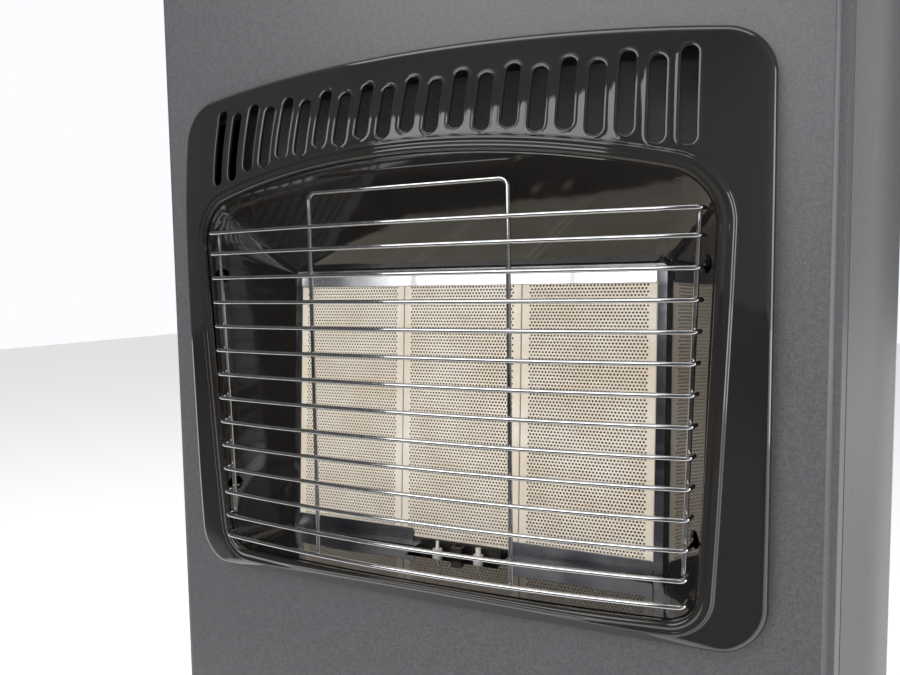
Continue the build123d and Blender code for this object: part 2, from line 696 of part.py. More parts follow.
def burner_box():
    """Pressed box in three chambers, with a ledge that carries the seal and a rim round the plaques."""
    tall = PLAQUE_HEIGHT + 2 * (CLEAR + BOX_WALL)
    body = Pos(0, 0, BOX_BACK / 2) * Box(2 * BOX_HALF, tall, -BOX_BACK)
    body += Pos(0, 0, -BOX_WALL / 2) * Box(2 * RIM_HALF, PLAQUE_HEIGHT + 2 * BURNER_RIM, BOX_WALL)
    seat = PLAQUE_THICK + SEAL_THICK
    body -= Pos(0, 0, -seat / 2) * Box(2 * (BANK_HALF + CLEAR), PLAQUE_HEIGHT + 2 * CLEAR, seat)
    chamber = Box(PLAQUE_WIDTH - 2 * PLENUM_BORDER, PLAQUE_HEIGHT - 2 * PLENUM_BORDER, PLENUM_DEPTH)
    for index in range(PLAQUE_COUNT):
        x = plaque_x(index)
        body -= Pos(x, 0, -seat - PLENUM_DEPTH / 2) * chamber
        body -= Pos(x, -tall / 2, TUBE_W) * Rot(90, 0, 0) * Cylinder(TUBE_BORE, 30.0)
    return in_burner(0, -PLAQUE_DROP, 0, body)


def mixing_tube(index):
    """Venturi tube from a bell mouth below up into one chamber of the burner box."""
    bell_top = BELL_LENGTH - TUBE_LENGTH
    wall = TUBE_RADIUS - TUBE_BORE
    outline = Polyline(
        (TUBE_BORE, 0),
        (TUBE_RADIUS, 0),
        (TUBE_RADIUS, bell_top),
        (BELL_RADIUS, -TUBE_LENGTH),
        (BELL_RADIUS - wall, -TUBE_LENGTH),
        (TUBE_BORE, bell_top),
        close=True,
    )
    tube = revolve(make_face(Plane.XZ * outline), Axis.Z)
    return in_burner(plaque_x(index), BOX_FOOT, TUBE_W, Rot(-90, 0, 0) * tube)


def retainer_strip(x0, x1, v_edge, upward):
    """Polished angle that laps the plaques' edge and turns back over the burner's rim."""
    inward = -1 if upward else 1
    low, high = sorted((v_edge + inward * STRIP_OVERLAP, v_edge - inward * STRIP_RIM))
    strip = Pos((x0 + x1) / 2, (low + high) / 2, SHEET / 2) * Box(x1 - x0, high - low, SHEET)
    return BURNER_PLANE * fillet(strip.edges().filter_by(Axis.Z), STRIP_CORNER)


# ---------------------------------------------------------------- gas train


def tube_foot(index):
    """Centre of a mixing tube's bell mouth."""
    return BURNER_PLANE.from_local_coords((plaque_x(index), BOX_FOOT - TUBE_LENGTH, TUBE_W))


def injector(index):
    """Brass jet under a bell mouth: a hexagon with a nozzle that reaches into the bell."""
    spot = tube_foot(index)
    hexagon = extrude(RegularPolygon(JET_HEX, 6), amount=JET_LENGTH)
    nozzle = Pos(0, 0, JET_LENGTH) * Cone(JET_TIP + 1.5, JET_TIP, JET_LENGTH, align=LOW)
    return Pos(spot.X, spot.Y, JET_RAIL_Z) * (hexagon + nozzle)


def jet_rail():
    """Folded steel bracket that carries the three jet blocks below the burner."""
    half = PLAQUE_WIDTH + JET_RAIL_MARGIN
    front = tube_foot(0).Y - JET_RAIL_REACH
    rail = block(-half, half, front, SHIELD_Y, JET_RAIL_Z - SHEET, JET_RAIL_Z)
    return rail + block(-half, half, SHIELD_Y - SHEET, SHIELD_Y, JET_RAIL_FOOT_Z, JET_RAIL_Z)


def jet_block(index):
    x, y = tube_foot(index).X, tube_foot(index).Y
    return block(
        x - JET_BLOCK_HALF_X, x + JET_BLOCK_HALF_X, y - JET_BLOCK_HALF_Y, y + JET_BLOCK_HALF_Y,
        JET_BLOCK_FOOT_Z, JET_RAIL_Z - SHEET,
    )


def feed_x(index):
    """Where a feed pipe leaves the valve: the longest pipe is the outermost."""
    return PILOT_PIPE_X + PIPE_STEP * (PLAQUE_COUNT - index)


def feed_pipe(index):
    spot = tube_foot(index)
    x = feed_x(index)
    z = PIPE_RUN_Z - PIPE_STEP * (PLAQUE_COUNT - 1 - index)
    down = [(x, spot.Y, VALVE_FOOT_Z), (x, spot.Y, z)]
    up = [(spot.X, spot.Y, z), (spot.X, spot.Y, JET_BLOCK_FOOT_Z)]
    return tube_along(down + up, PIPE_RADIUS, PIPE_BEND)


def valve_front():
    """Front face of the valve, a margin in front of the pipes that leave its foot."""
    return tube_foot(0).Y - PIPE_RADIUS - PIPE_MARGIN


def gas_valve():
    """Cast valve block with a neck for the spindle."""
    body = block(
        KNOB_X - VALVE_HALF_X, KNOB_X + VALVE_HALF_X, valve_front(), CONTROL_Y + VALVE_HALF_Y,
        VALVE_FOOT_Z, VALVE_TOP_Z,
    )
    body = fillet(body.edges().filter_by(Axis.Z), 4.0)
    neck = Pos(KNOB_X, CONTROL_Y, VALVE_TOP_Z) * Cylinder(NECK_RADIUS, NECK_HEIGHT, align=LOW)
    depth = VALVE_TOP_Z - SPINDLE_FOOT_Z + 2 * NECK_HEIGHT
    bore = Pos(KNOB_X, CONTROL_Y, SPINDLE_FOOT_Z - CLEAR) * Cylinder(SPINDLE_RADIUS + RUN, depth, align=LOW)
    return body + neck - bore


def valve_bracket():
    """Angle that hangs the valve from the heat shield."""
    half = VALVE_HALF_X + BRACKET_MARGIN
    foot = VALVE_FOOT_Z - SHEET
    bracket = block(KNOB_X - half, KNOB_X + half, valve_front(), SHIELD_Y, foot, VALVE_FOOT_Z)
    bracket += block(
        KNOB_X - half, KNOB_X + half, SHIELD_Y - SHEET, SHIELD_Y, foot - BRACKET_LEG, VALVE_FOOT_Z
    )
    pipe_y = tube_foot(0).Y
    for index in range(PLAQUE_COUNT):
        bracket -= Pos(feed_x(index), pipe_y, foot) * Cylinder(PIPE_RADIUS + CLEAR, 10.0)
    return bracket - Pos(PILOT_PIPE_X, pipe_y, foot) * Cylinder(PILOT_PIPE_RADIUS + CLEAR, 10.0)


def inlet_nozzle():
    """Ribbed hose nozzle, from the back of the valve through the heat shield into the cylinder bay."""
    root = NOZZLE_RADIUS - NOZZLE_RIB
    shank = 2 * NOZZLE_RIB_PITCH
    outline = [(0, 0), (NOZZLE_COLLAR, 0), (NOZZLE_COLLAR, 4.0), (root, 4.0), (root, shank)]
    for rib in range(3):
        y = shank + rib * NOZZLE_RIB_PITCH
        outline += [(NOZZLE_RADIUS, y), (root, y + NOZZLE_RIB_PITCH)]
    outline += [(0, outline[-1][1])]
    shape = revolve(make_face(Polyline(*outline, close=True)), Axis.Y)
    return Pos(KNOB_X, CONTROL_Y + VALVE_HALF_Y, INLET_Z) * shape


# ---------------------------------------------------------------- pilot


def pilot_bracket():
    """Bent plate on the burner's rim that carries the pilot burner and its two probes."""
    width = PILOT_GAP_RIGHT - PILOT_GAP_LEFT - 2 * SHELF_MARGIN
    top = PLAQUE_FOOT_V - CLEAR
    plate = Pos(PILOT_MID, (top + SHELF_V) / 2, SHEET / 2) * Box(width, top - SHELF_V, SHEET)
    shelf = Pos(PILOT_MID, SHELF_V - SHEET / 2, PILOT_W) * Box(width, SHEET, 2 * PILOT_W)
    shelf -= Pos(PILOT_BURNER_X, SHELF_V, PILOT_W) * Rot(90, 0, 0) * Cylinder(PILOT_PIPE_RADIUS + 0.5, 10.0)
    return BURNER_PLANE * (plate + shelf)


def pilot_post(x, steps):
    """Round post that stands on the bracket's shelf, given as radius and length from the foot up."""
    v = SHELF_V
    post = None
    for radius, length in steps:
        step = Pos(x, v + length / 2, PILOT_W) * Rot(90, 0, 0) * Cylinder(radius, length)
        post = step if post is None else post + step
        v += length
    return BURNER_PLANE * post


def pilot_burner():
    """Hexagon base, and a hood that throws the flame back on the plaques."""
    hexagon = Rot(-90, 0, 0) * extrude(RegularPolygon(PILOT_HEX, 6), amount=5.0)
    hood = Pos(0, 9.0, 0) * Box(7.0, 8.0, 6.0)
    hood -= Pos(0, 10.5, -2.0) * Box(5.0, 5.0, 6.0)
    return in_burner(PILOT_BURNER_X, SHELF_V, PILOT_W, hexagon + hood)


def pilot_pipe():
    end = BURNER_PLANE.from_local_coords((PILOT_BURNER_X, SHELF_V, PILOT_W))
    low_z = end.Z - PILOT_PIPE_DROP
    start_y = tube_foot(0).Y
    points = [
        (PILOT_PIPE_X, start_y, VALVE_FOOT_Z),
        (PILOT_PIPE_X, start_y, low_z),
        (PILOT_PIPE_X, end.Y, low_z),
        (PILOT_BURNER_X, end.Y, low_z),
        (PILOT_BURNER_X, end.Y, end.Z),
    ]
    return tube_along(points, PILOT_PIPE_RADIUS, PILOT_PIPE_BEND)


# ---------------------------------------------------------------- controls and top


def lid_cavity():
    """Inside of the lid: the cabinet's plan without its ribs, one wall in."""
    front = PANEL_Y + TOP_WALL
    splay = FLAT_HALF - 4.0
    side = SIDE_X - TOP_WALL
    side_front = SEAM_Y + SIDE_STEPS[-1][1]
    rear = SHELL_REAR_Y - TOP_WALL
    right = [(splay, front), (side, side_front), (side, rear)]
    left = [(-x, y) for x, y in reversed(right)]
    return make_face(Polyline(*right, *left, close=True))


def pocket_block(inset, z0, z1):
    """Box on the control pocket's plan, smaller by inset on each side."""
    half_x = POCKET_HALF_X - inset
    half_y = POCKET_HALF_Y - inset
    return block(POCKET_X - half_x, POCKET_X + half_x, CONTROL_Y - half_y, CONTROL_Y + half_y, z0, z1)


def top_cover():
    """Pressed lid: rounded top edge, and a pocket at the right for the controls."""
    outer = upright(cabinet_plan(0), PANEL_TOP_Z, HEIGHT)
    outer = fillet(outer.faces().sort_by(Axis.Z)[-1].edges(), TOP_ROUND)
    lid = outer - upright(lid_cavity(), PANEL_TOP_Z - 1, HEIGHT - TOP_WALL)
    tub = pocket_block(0, POCKET_FLOOR_Z - TOP_WALL, HEIGHT - 1)
    hollow = pocket_block(TOP_WALL, POCKET_FLOOR_Z, HEIGHT + 10)
    hole = pocket_block(POCKET_LEDGE, POCKET_FLOOR_Z - 20, POCKET_FLOOR_Z + 5)
    return lid + tub - hollow - hole


def control_fascia():
    plate = pocket_block(TOP_WALL + CLEAR, POCKET_FLOOR_Z, FASCIA_Z)
    plate -= Pos(KNOB_X, CONTROL_Y, FASCIA_Z) * Cylinder(SPINDLE_RADIUS + 2.0, 10.0)
    return plate - Pos(BUTTON_X, CONTROL_Y, FASCIA_Z) * Cylinder(PIEZO_RADIUS, 10.0)


def flatted_rod(radius, z0, z1, flat_z):
    """Round rod along Z at the knob's axis, with a driving flat above flat_z."""
    shaft = Pos(KNOB_X, CONTROL_Y, z0) * Cylinder(radius, z1 - z0, align=LOW)
    flat_x = KNOB_X + SPINDLE_RADIUS - SPINDLE_FLAT + (radius - SPINDLE_RADIUS)
    return shaft - block(flat_x, flat_x + 10, CONTROL_Y - 10, CONTROL_Y + 10, flat_z, z1 + 10)


def valve_spindle():
    return flatted_rod(SPINDLE_RADIUS, SPINDLE_FOOT_Z, SPINDLE_TOP_Z, SPINDLE_TOP_Z - FLAT_LENGTH)


def control_knob():
    """Round knob with a grip bar across it, and a blind bore that slides on the spindle."""
    foot_radius = KNOB_RADIUS - 2.5
    top_radius = KNOB_RADIUS - 4.0
    skirt = Cylinder(KNOB_RADIUS, KNOB_SKIRT, align=LOW)
    crown = Cone(foot_radius, top_radius, KNOB_CROWN, align=LOW)
    grip = Cone(foot_radius, top_radius, KNOB_HEIGHT, align=LOW)
    grip &= Box(KNOB_GRIP, 3 * KNOB_RADIUS, 3 * KNOB_HEIGHT)
    knob = Pos(KNOB_X, CONTROL_Y, KNOB_FOOT_Z) * (skirt + crown + grip)
    bore_top = SPINDLE_TOP_Z + KNOB_TRAVEL + 1.0
    return knob - flatted_rod(SPINDLE_RADIUS + RUN, KNOB_FOOT_Z - 1, bore_top, KNOB_FOOT_Z - 1)


def igniter_body():
    """Piezo cartridge hung in the fascia by its collar."""
    spot = Pos(BUTTON_X, CONTROL_Y, FASCIA_Z - PIEZO_LENGTH)
    body = spot * Cylinder(PIEZO_RADIUS - CLEAR, PIEZO_LENGTH, align=LOW)
    body += Pos(BUTTON_X, CONTROL_Y, FASCIA_Z) * Cylinder(PIEZO_RADIUS + COLLAR_LAP, COLLAR_THICK, align=LOW)
    well_foot = Pos(BUTTON_X, CONTROL_Y, FASCIA_Z - STEM_LENGTH - 2 * BUTTON_TRAVEL)
    return body - well_foot * Cylinder(STEM_RADIUS + RUN, PIEZO_LENGTH, align=LOW)


def igniter_button():
    cap_foot = FASCIA_Z + COLLAR_THICK + BUTTON_TRAVEL + CLEAR
    stem_foot = FASCIA_Z - STEM_LENGTH
    cap = Cylinder(BUTTON_RADIUS, BUTTON_HEIGHT, align=LOW)
    cap = chamfer(cap.faces().sort_by(Axis.Z)[-1].edges(), 1.0)
    stem = Cylinder(STEM_RADIUS, cap_foot - stem_foot, align=LOW)
    return Pos(BUTTON_X, CONTROL_Y, cap_foot) * cap + Pos(BUTTON_X, CONTROL_Y, stem_foot) * stem


# ---------------------------------------------------------------- deflector behind the slots
def heat_deflector():
    """Folded sheet that turns the hot air forward through the slots."""
    half = BEZEL_HALF - DEFLECTOR_INSET
    back = PANEL_Y + SHEET
    top = HEARTH_Z + BEZEL_TOP - 2.0
    web_y = back + DEFLECTOR_DEPTH
    sheet = block(-half, half, web_y, web_y + SHEET, top - DEFLECTOR_DROP, top)
    sheet += block(-half, half, back, web_y + SHEET, top - SHEET, top)
    return sheet + block(-half, half, back, back + SHEET, top - SHEET, top + DEFLECTOR_LIP)


# ---------------------------------------------------------------- castors
def castor_plates():
    """Four plates under the base, each with a king pin headed below the fork's crown."""
    plates = []
    for x, y in castor_spots():
        plate = Pos(x, y, BASE_Z - PLATE_THICK) * Box(PLATE_SIZE, PLATE_SIZE, PLATE_THICK, align=LOW)
        head_z = CROWN_FOOT_Z - CLEAR - KING_HEAD_THICK
        plate += Pos(x, y, head_z) * Cylinder(KING_RADIUS, BASE_Z - PLATE_THICK - head_z, align=LOW)
        plate += Pos(x, y, head_z) * Cylinder(KING_HEAD_RADIUS, KING_HEAD_THICK, align=LOW)
        plates.append(plate)
    return Compound(children=plates)


def castor_spots():
    return [
        (-CASTOR_X, CASTOR_FRONT_Y),
        (CASTOR_X, CASTOR_FRONT_Y),
        (-CASTOR_X, CASTOR_REAR_Y),
        (CASTOR_X, CASTOR_REAR_Y),
    ]


def castor_fork():
    """Crown disc with two cranked legs down to the axle."""
    crown_top = BASE_Z - PLATE_THICK - CLEAR
    inner = WHEEL_WIDTH / 2 + LEG_GAP
    crown = Pos(0, 0, CROWN_FOOT_Z) * Cylinder(CROWN_RADIUS, crown_top - CROWN_FOOT_Z, align=LOW)
    leg = make_face(
        Polyline(
            (-9.0, crown_top),
            (11.0, crown_top),
            (TRAIL + 8.0, WHEEL_RADIUS),
            (TRAIL, WHEEL_RADIUS - 8.0),
            (TRAIL - 8.0, WHEEL_RADIUS),
            (-9.0, CROWN_FOOT_Z - 4.0),
            close=True,
        )
    )
    fork = crown
    for start in (inner, -inner - LEG_THICK):
        fork += across(leg, start, start + LEG_THICK)
    fork -= Pos(0, 0, CROWN_FOOT_Z - 10) * Cylinder(KING_RADIUS + RUN, 40.0, align=LOW)
    fork -= Pos(0, TRAIL, WHEEL_RADIUS) * Rot(0, 90, 0) * Cylinder(AXLE_RADIUS + AXLE_FIT, 4 * WHEEL_WIDTH)
    return fork


def castor_wheel():
    half = WHEEL_WIDTH / 2
    outline = Polyline(
        (AXLE_RADIUS + RUN, -half),
        (AXLE_RADIUS + 5.0, -half),
        (AXLE_RADIUS + 7.0, -half + 3.0),
        (WHEEL_RADIUS - 6.0, -half + 3.0),
        (WHEEL_RADIUS - 3.0, -half + 0.5),
        (WHEEL_RADIUS, -half + 3.5),
        (WHEEL_RADIUS, half - 3.5),
        (WHEEL_RADIUS - 3.0, half - 0.5),
        (WHEEL_RADIUS - 6.0, half - 3.0),
        (AXLE_RADIUS + 7.0, half - 3.0),
        (AXLE_RADIUS + 5.0, half),
        (AXLE_RADIUS + RUN, half),
        close=True,
    )
    wheel = revolve(make_face(Plane.XZ * outline), Axis.Z)
    return Pos(0, TRAIL, WHEEL_RADIUS) * Rot(0, 90, 0) * wheel


def castor_axle():
    inner = WHEEL_WIDTH / 2 + LEG_GAP + LEG_THICK
    axle = Cylinder(AXLE_RADIUS, 2 * inner + 4.0)
    for side in (-1, 1):
        axle += Pos(0, 0, side * (inner + 1.0)) * Cylinder(AXLE_RADIUS + 2.0, 2.0)
    return Pos(0, TRAIL, WHEEL_RADIUS) * Rot(0, 90, 0) * axle


# ---------------------------------------------------------------- build
save(front_panel(), "front_panel")
save(side_panel(-1), "left_side_panel")
save(side_panel(1), "right_side_panel")
save(side_grip(-1), "left_side_grip")
save(side_grip(1), "right_side_grip")
save(base_tray(), "base_tray")
save(top_rail(), "rear_top_rail")
save(heat_shield(), "heat_shield")
save(rear_rails(), "rear_rails")
save(rear_cover(), "rear_cover")
save(top_cover(), "top_cover")
save(control_fascia(), "control_fascia")
save(bezel(), "bezel")
save(reflector(), "reflector")
save(wire_guard(), "wire_guard")
save(heat_deflector(), "heat_deflector")

for index, name in enumerate(("left", "middle", "right")):
    save(plaque(index), f"plaque_{name}")
    save(mixing_tube(index), f"mixing_tube_{name}")
    save(feed_pipe(index), f"feed_pipe_{name}")

save(plaque_seal(), "plaque_seal")
save(burner_box(), "burner_box")
save(retainer_strip(-BANK_HALF, BANK_HALF, PLAQUE_TOP_V, True), "top_retainer_strip")
save(retainer_strip(-BANK_HALF, PILOT_GAP_LEFT, PLAQUE_FOOT_V, False), "left_foot_retainer_strip")
save(retainer_strip(PILOT_GAP_RIGHT, BANK_HALF, PLAQUE_FOOT_V, False), "right_foot_retainer_strip")
save(Compound(children=[injector(i) for i in range(PLAQUE_COUNT)]), "injectors")
save(Compound(children=[jet_block(i) for i in range(PLAQUE_COUNT)]), "jet_blocks")
save(jet_rail(), "jet_rail")
save(gas_valve(), "gas_valve")
save(valve_bracket(), "valve_bracket")
save(valve_spindle(), "valve_spindle")
save(control_knob(), "control_knob")
save(igniter_body(), "igniter_body")
save(igniter_button(), "igniter_button")
save(inlet_nozzle(), "inlet_nozzle")
save(pilot_bracket(), "pilot_bracket")
save(pilot_burner(), "pilot_burner")
save(pilot_pipe(), "pilot_pipe")
save(pilot_post(IGNITION_X, IGNITION_STEPS), "ignition_electrode")
save(pilot_post(SENSOR_X, SENSOR_STEPS), "flame_sensor")
save(castor_plates(), "castor_plates")

for (x, y), corner in zip(castor_spots(), ("front_left", "front_right", "rear_left", "rear_right")):
    save(Pos(x, y, 0) * castor_fork(), f"castor_fork_{corner}")
    save(Pos(x, y, 0) * castor_wheel(), f"castor_wheel_{corner}")
    save(Pos(x, y, 0) * castor_axle(), f"castor_axle_{corner}")
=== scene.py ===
import json
import math

import bmesh
import bpy
import numpy as np
from mathutils import Matrix, Vector, geometry
from mathutils.kdtree import KDTree

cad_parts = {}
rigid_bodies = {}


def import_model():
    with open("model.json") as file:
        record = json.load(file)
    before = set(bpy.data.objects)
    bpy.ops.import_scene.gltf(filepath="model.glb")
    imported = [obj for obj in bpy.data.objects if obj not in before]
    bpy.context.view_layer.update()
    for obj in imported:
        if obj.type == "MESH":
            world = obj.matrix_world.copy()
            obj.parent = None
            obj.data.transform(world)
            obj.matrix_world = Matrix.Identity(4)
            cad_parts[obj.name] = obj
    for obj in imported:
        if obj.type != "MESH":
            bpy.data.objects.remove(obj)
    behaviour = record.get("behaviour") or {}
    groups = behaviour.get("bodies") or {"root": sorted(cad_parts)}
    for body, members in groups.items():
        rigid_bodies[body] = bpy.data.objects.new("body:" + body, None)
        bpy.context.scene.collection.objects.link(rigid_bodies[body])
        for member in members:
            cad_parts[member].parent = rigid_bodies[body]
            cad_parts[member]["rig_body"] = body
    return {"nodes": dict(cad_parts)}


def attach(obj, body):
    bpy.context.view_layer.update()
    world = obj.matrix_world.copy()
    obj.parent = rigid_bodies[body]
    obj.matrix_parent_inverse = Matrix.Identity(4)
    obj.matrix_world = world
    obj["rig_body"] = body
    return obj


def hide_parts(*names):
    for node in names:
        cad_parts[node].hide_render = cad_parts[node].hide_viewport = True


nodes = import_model()["nodes"]
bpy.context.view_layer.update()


# ---------------------------------------------------------------- cabinet panels
# Front and side panels are pressed mild steel with a satin anthracite powder coat. The front panel's
# edges are rolled into three ribs, and the side panels wrap the splayed corners and the rear edges.
# The lift-off rear cover and the rails that hold it are coated the same.
def placed(tree, kind, **settings):
    """A new node: settings in lower case are its own, and capitalised ones are its inputs' values."""
    node = tree.nodes.new(kind)
    for label, value in settings.items():
        if label.islower():
            setattr(node, label, value)
        else:
            node.inputs[label.replace("_", " ")].default_value = value
    return node


def wired(tree, *runs):
    """Links nodes: each run is a node, its output, the next node and its input."""
    for source, output, target, socket in runs:
        tree.links.new(source.outputs[output], target.inputs[socket])


def new_group(name, kind, inputs, outputs):
    """A node group with its named sockets, and its two end nodes."""
    group = bpy.data.node_groups.new(name, kind)
    for way, sockets in (("INPUT", inputs), ("OUTPUT", outputs)):
        for label, socket in sockets.items():
            group.interface.new_socket(label, in_out=way, socket_type="NodeSocket" + socket)
    return group, group.nodes.new("NodeGroupInput"), group.nodes.new("NodeGroupOutput")


def mottle_group():
    """Slow cloudy shade and fine grain: a colour, a roughness and a height for a bump."""
    group, start, end = new_group(
        "mottle", "ShaderNodeTree",
        {
            "Cloud scale": "Float", "Grain scale": "Float", "Cloud share": "Float",
            "Low rough": "Float", "High rough": "Float", "Low color": "Color", "High color": "Color",
        },
        {"Color": "Color", "Roughness": "Float", "Height": "Float"},
    )
    place = placed(group, "ShaderNodeTexCoord")
    cloud = placed(group, "ShaderNodeTexNoise", Detail=4.0)
    grain = placed(group, "ShaderNodeTexNoise", Detail=2.0)
    blend = placed(group, "ShaderNodeMix")
    spread = placed(group, "ShaderNodeMapRange", From_Min=0.35, From_Max=0.65)
    tint = placed(group, "ShaderNodeMix", data_type="RGBA")
    rough = placed(group, "ShaderNodeMix")
    wired(
        group,
        (place, "Object", cloud, "Vector"),
        (place, "Object", grain, "Vector"),
        (start, "Cloud scale", cloud, "Scale"),
        (start, "Grain scale", grain, "Scale"),
        (start, "Cloud share", blend, "Factor"),
        (grain, "Fac", blend, "A"),
        (cloud, "Fac", blend, "B"),
        (blend, "Result", spread, "Value"),
        (spread, "Result", tint, "Factor"),
        (start, "Low color", tint, "A"),
        (start, "High color", tint, "B"),
        (spread, "Result", rough, "Factor"),
        (start, "Low rough", rough, "A"),
        (start, "High rough", rough, "B"),
        (tint, "Result", end, "Color"),
        (rough, "Result", end, "Roughness"),
        (grain, "Fac", end, "Height"),
    )
    return group


mottle = mottle_group()


def new_material(name, color, rough, metal=0.0):
    """A material, with its Principled shader."""
    material = bpy.data.materials.new(name)
    material.use_nodes = True
    shader = material.node_tree.nodes["Principled BSDF"]
    shader.inputs["Base Color"].default_value = (*color, 1)
    shader.inputs["Roughness"].default_value = rough
    shader.inputs["Metallic"].default_value = metal
    return material, shader


def mottled(name, low, high, low_rough, high_rough, metal=0.0, cloud=40.0, grain=900.0, share=0.5, bump=0.1,
            depth=0.0001):
    """A finish whose shade and gloss wander between two values, over a fine grain."""
    material, shader = new_material(name, high, high_rough, metal)
    tree = material.node_tree
    effect = placed(
        tree, "ShaderNodeGroup", node_tree=mottle, Cloud_scale=cloud, Grain_scale=grain, Cloud_share=share,
        Low_rough=low_rough, High_rough=high_rough, Low_color=(*low, 1), High_color=(*high, 1),
    )
    raised = placed(tree, "ShaderNodeBump", Strength=bump, Distance=depth)
    wired(
        tree,
        (effect, "Color", shader, "Base Color"),
        (effect, "Roughness", shader, "Roughness"),
        (effect, "Height", raised, "Height"),
        (raised, "Normal", shader, "Normal"),
    )
    return material


def set_out(name, data):
    """An object for a mesh, a lamp or a camera, put in the scene."""
    thing = bpy.data.objects.new(name, data)
    bpy.context.scene.collection.objects.link(thing)
    return thing


MERGE_GAP = 2e-6
FLAT_TURN = math.radians(0.4)
EDGE_TURN = math.radians(40)


def dress(node, finish, edge=0.0, smooth=35.0):
    """A merged copy of a part's solid, with eased edges and smooth curves, shown in the part's place."""
    mesh = nodes[node].data.copy()
    shell = bmesh.new()
    shell.from_mesh(mesh)
    bmesh.ops.remove_doubles(shell, verts=shell.verts, dist=MERGE_GAP)
    bmesh.ops.dissolve_limit(shell, angle_limit=FLAT_TURN, verts=shell.verts, edges=shell.edges)
    shell.to_mesh(mesh)
    shell.free()
    mesh.materials.clear()
    mesh.materials.append(finish)
    mesh.shade_smooth()
    mesh.set_sharp_from_angle(angle=math.radians(smooth))
    piece = set_out(node + "_finished", mesh)
    if edge:
        ease = piece.modifiers.new("eased edges", "BEVEL")
        ease.width = edge
        ease.segments = 2
        ease.limit_method = "ANGLE"
        ease.angle_limit = EDGE_TURN
    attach(piece, nodes[node]["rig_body"])
    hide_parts(node)


def toned(material, tone, mask, output):
    """Mixes a material's colour towards a tone, as far as a mask node's output says."""
    tree = material.node_tree
    shader = tree.nodes["Principled BSDF"]
    under = shader.inputs["Base Color"].links[0].from_node
    mix = placed(tree, "ShaderNodeMix", data_type="RGBA", B=(*tone, 1))
    wired(
        tree,
        (mask, output, mix, "Factor"),
        (under, "Color", mix, "A"),
        (mix, "Result", shader, "Base Color"),
    )


def painted_shade_behind_surround(material):
    """Paints shade on the coat behind the surround, inside its outline, so that the slots look dark inside.
    """
    tree = material.node_tree
    place = placed(tree, "ShaderNodeTexCoord")
    axes = placed(tree, "ShaderNodeSeparateXYZ")
    across, upward, on_face = (placed(tree, "ShaderNodeMath", operation="COMPARE") for _ in range(3))
    for gate, middle, half in ((across, 0.0, 0.150), (upward, 0.478, 0.149), (on_face, -0.175, 0.006)):
        gate.inputs[1].default_value, gate.inputs[2].default_value = middle, half
    flat, inside = (placed(tree, "ShaderNodeMath", operation="MULTIPLY") for _ in range(2))
    wired(
        tree,
        (place, "Object", axes, "Vector"),
        (axes, "X", across, 0),
        (axes, "Z", upward, 0),
        (axes, "Y", on_face, 0),
        (across, "Value", flat, 0),
        (upward, "Value", flat, 1),
        (flat, "Value", inside, 0),
        (on_face, "Value", inside, 1),
    )
    toned(material, (0.020, 0.020, 0.022), inside, "Value")


powder_coat = mottled(
    "satin powder coat", (0.078, 0.080, 0.085), (0.130, 0.132, 0.138), 0.31, 0.42,
    cloud=420.0, grain=1500.0, share=0.3, bump=0.3, depth=0.00012,
)
# painted shade: the front panel is darkened behind the surround, where it shows through the slots
painted_shade_behind_surround(powder_coat)
for node in ("front_panel", "left_side_panel", "right_side_panel"):
    dress(node, powder_coat, edge=0.0005)
for node in ("rear_cover", "rear_rails", "rear_top_rail"):
    dress(node, powder_coat, edge=0.0003)


# ---------------------------------------------------------------- top cover and side grips
# Moulded in a heat-resisting black-grey plastic with a spark-eroded surface. The cover drops over the
# panels' top edge, and each grip clips through its side panel.
spark_grain = mottled(
    "spark grained moulding", (0.085, 0.087, 0.092), (0.115, 0.117, 0.122), 0.5, 0.62,
    cloud=60.0, grain=2600.0, share=0.2, bump=0.35,
)
for node in ("top_cover", "left_side_grip", "right_side_grip"):
    dress(node, spark_grain, edge=0.0004)


# ---------------------------------------------------------------- base and inner sheet work
# Zinc-plated sheet, bent and spot-welded: the base tray, the shield in front of the cylinder bay and
# the gas parts' brackets. The pilot, its bracket and the deflector over the flames are darkened by heat.
plated_sheet = mottled(
    "zinc plated sheet", (0.40, 0.40, 0.39), (0.56, 0.56, 0.55), 0.32, 0.48,
    metal=1.0, cloud=90.0, grain=500.0, share=0.7, bump=0.05,
)
for node in ("base_tray", "heat_shield", "jet_rail", "valve_bracket"):
    dress(node, plated_sheet, edge=0.0002)
burnt_sheet = mottled(
    "heat-darkened steel", (0.040, 0.037, 0.036), (0.085, 0.078, 0.075), 0.25, 0.42,
    metal=0.9, cloud=110.0, share=0.8,
)
for node in ("pilot_bracket", "pilot_burner"):
    dress(node, burnt_sheet, edge=0.0001)
sooted_sheet = mottled(
    "heat-blackened sheet", (0.075, 0.078, 0.086), (0.110, 0.113, 0.122), 0.45, 0.6,
    cloud=70.0, grain=600.0, share=0.7, bump=0.05,
)
dress("heat_deflector", sooted_sheet, edge=0.0002)


# ---------------------------------------------------------------- surround
# One pressing in brown-black vitreous enamel: a domed face with a rolled outer edge, a chin that slopes
# back to the panel, a ridged bead round the mouth, and slots with turned-in rims for the hot air.
enamel = mottled(
    "black vitreous enamel", (0.0155, 0.0138, 0.0124), (0.0205, 0.0188, 0.0174), 0.05, 0.09,
    cloud=14.0, grain=26.0, share=0.6, bump=1.0, depth=0.0004,
)
glassy = enamel.node_tree.nodes["Principled BSDF"]
glassy.inputs["Coat Weight"].default_value = 0.5
glassy.inputs["Coat Roughness"].default_value = 0.04
SHEET = 0.0012
HEARTH_Z = 0.440
BEND_Y = -0.2026
PANEL_Y = -0.1756
MOUTH_Y = BEND_Y - 0.0283
PLAQUE_ORIGIN = Vector((0, -0.1487, HEARTH_Z))
LEAN = math.radians(4.0)
PLAQUE_NORMAL = Vector((0, -math.cos(LEAN), math.sin(LEAN)))
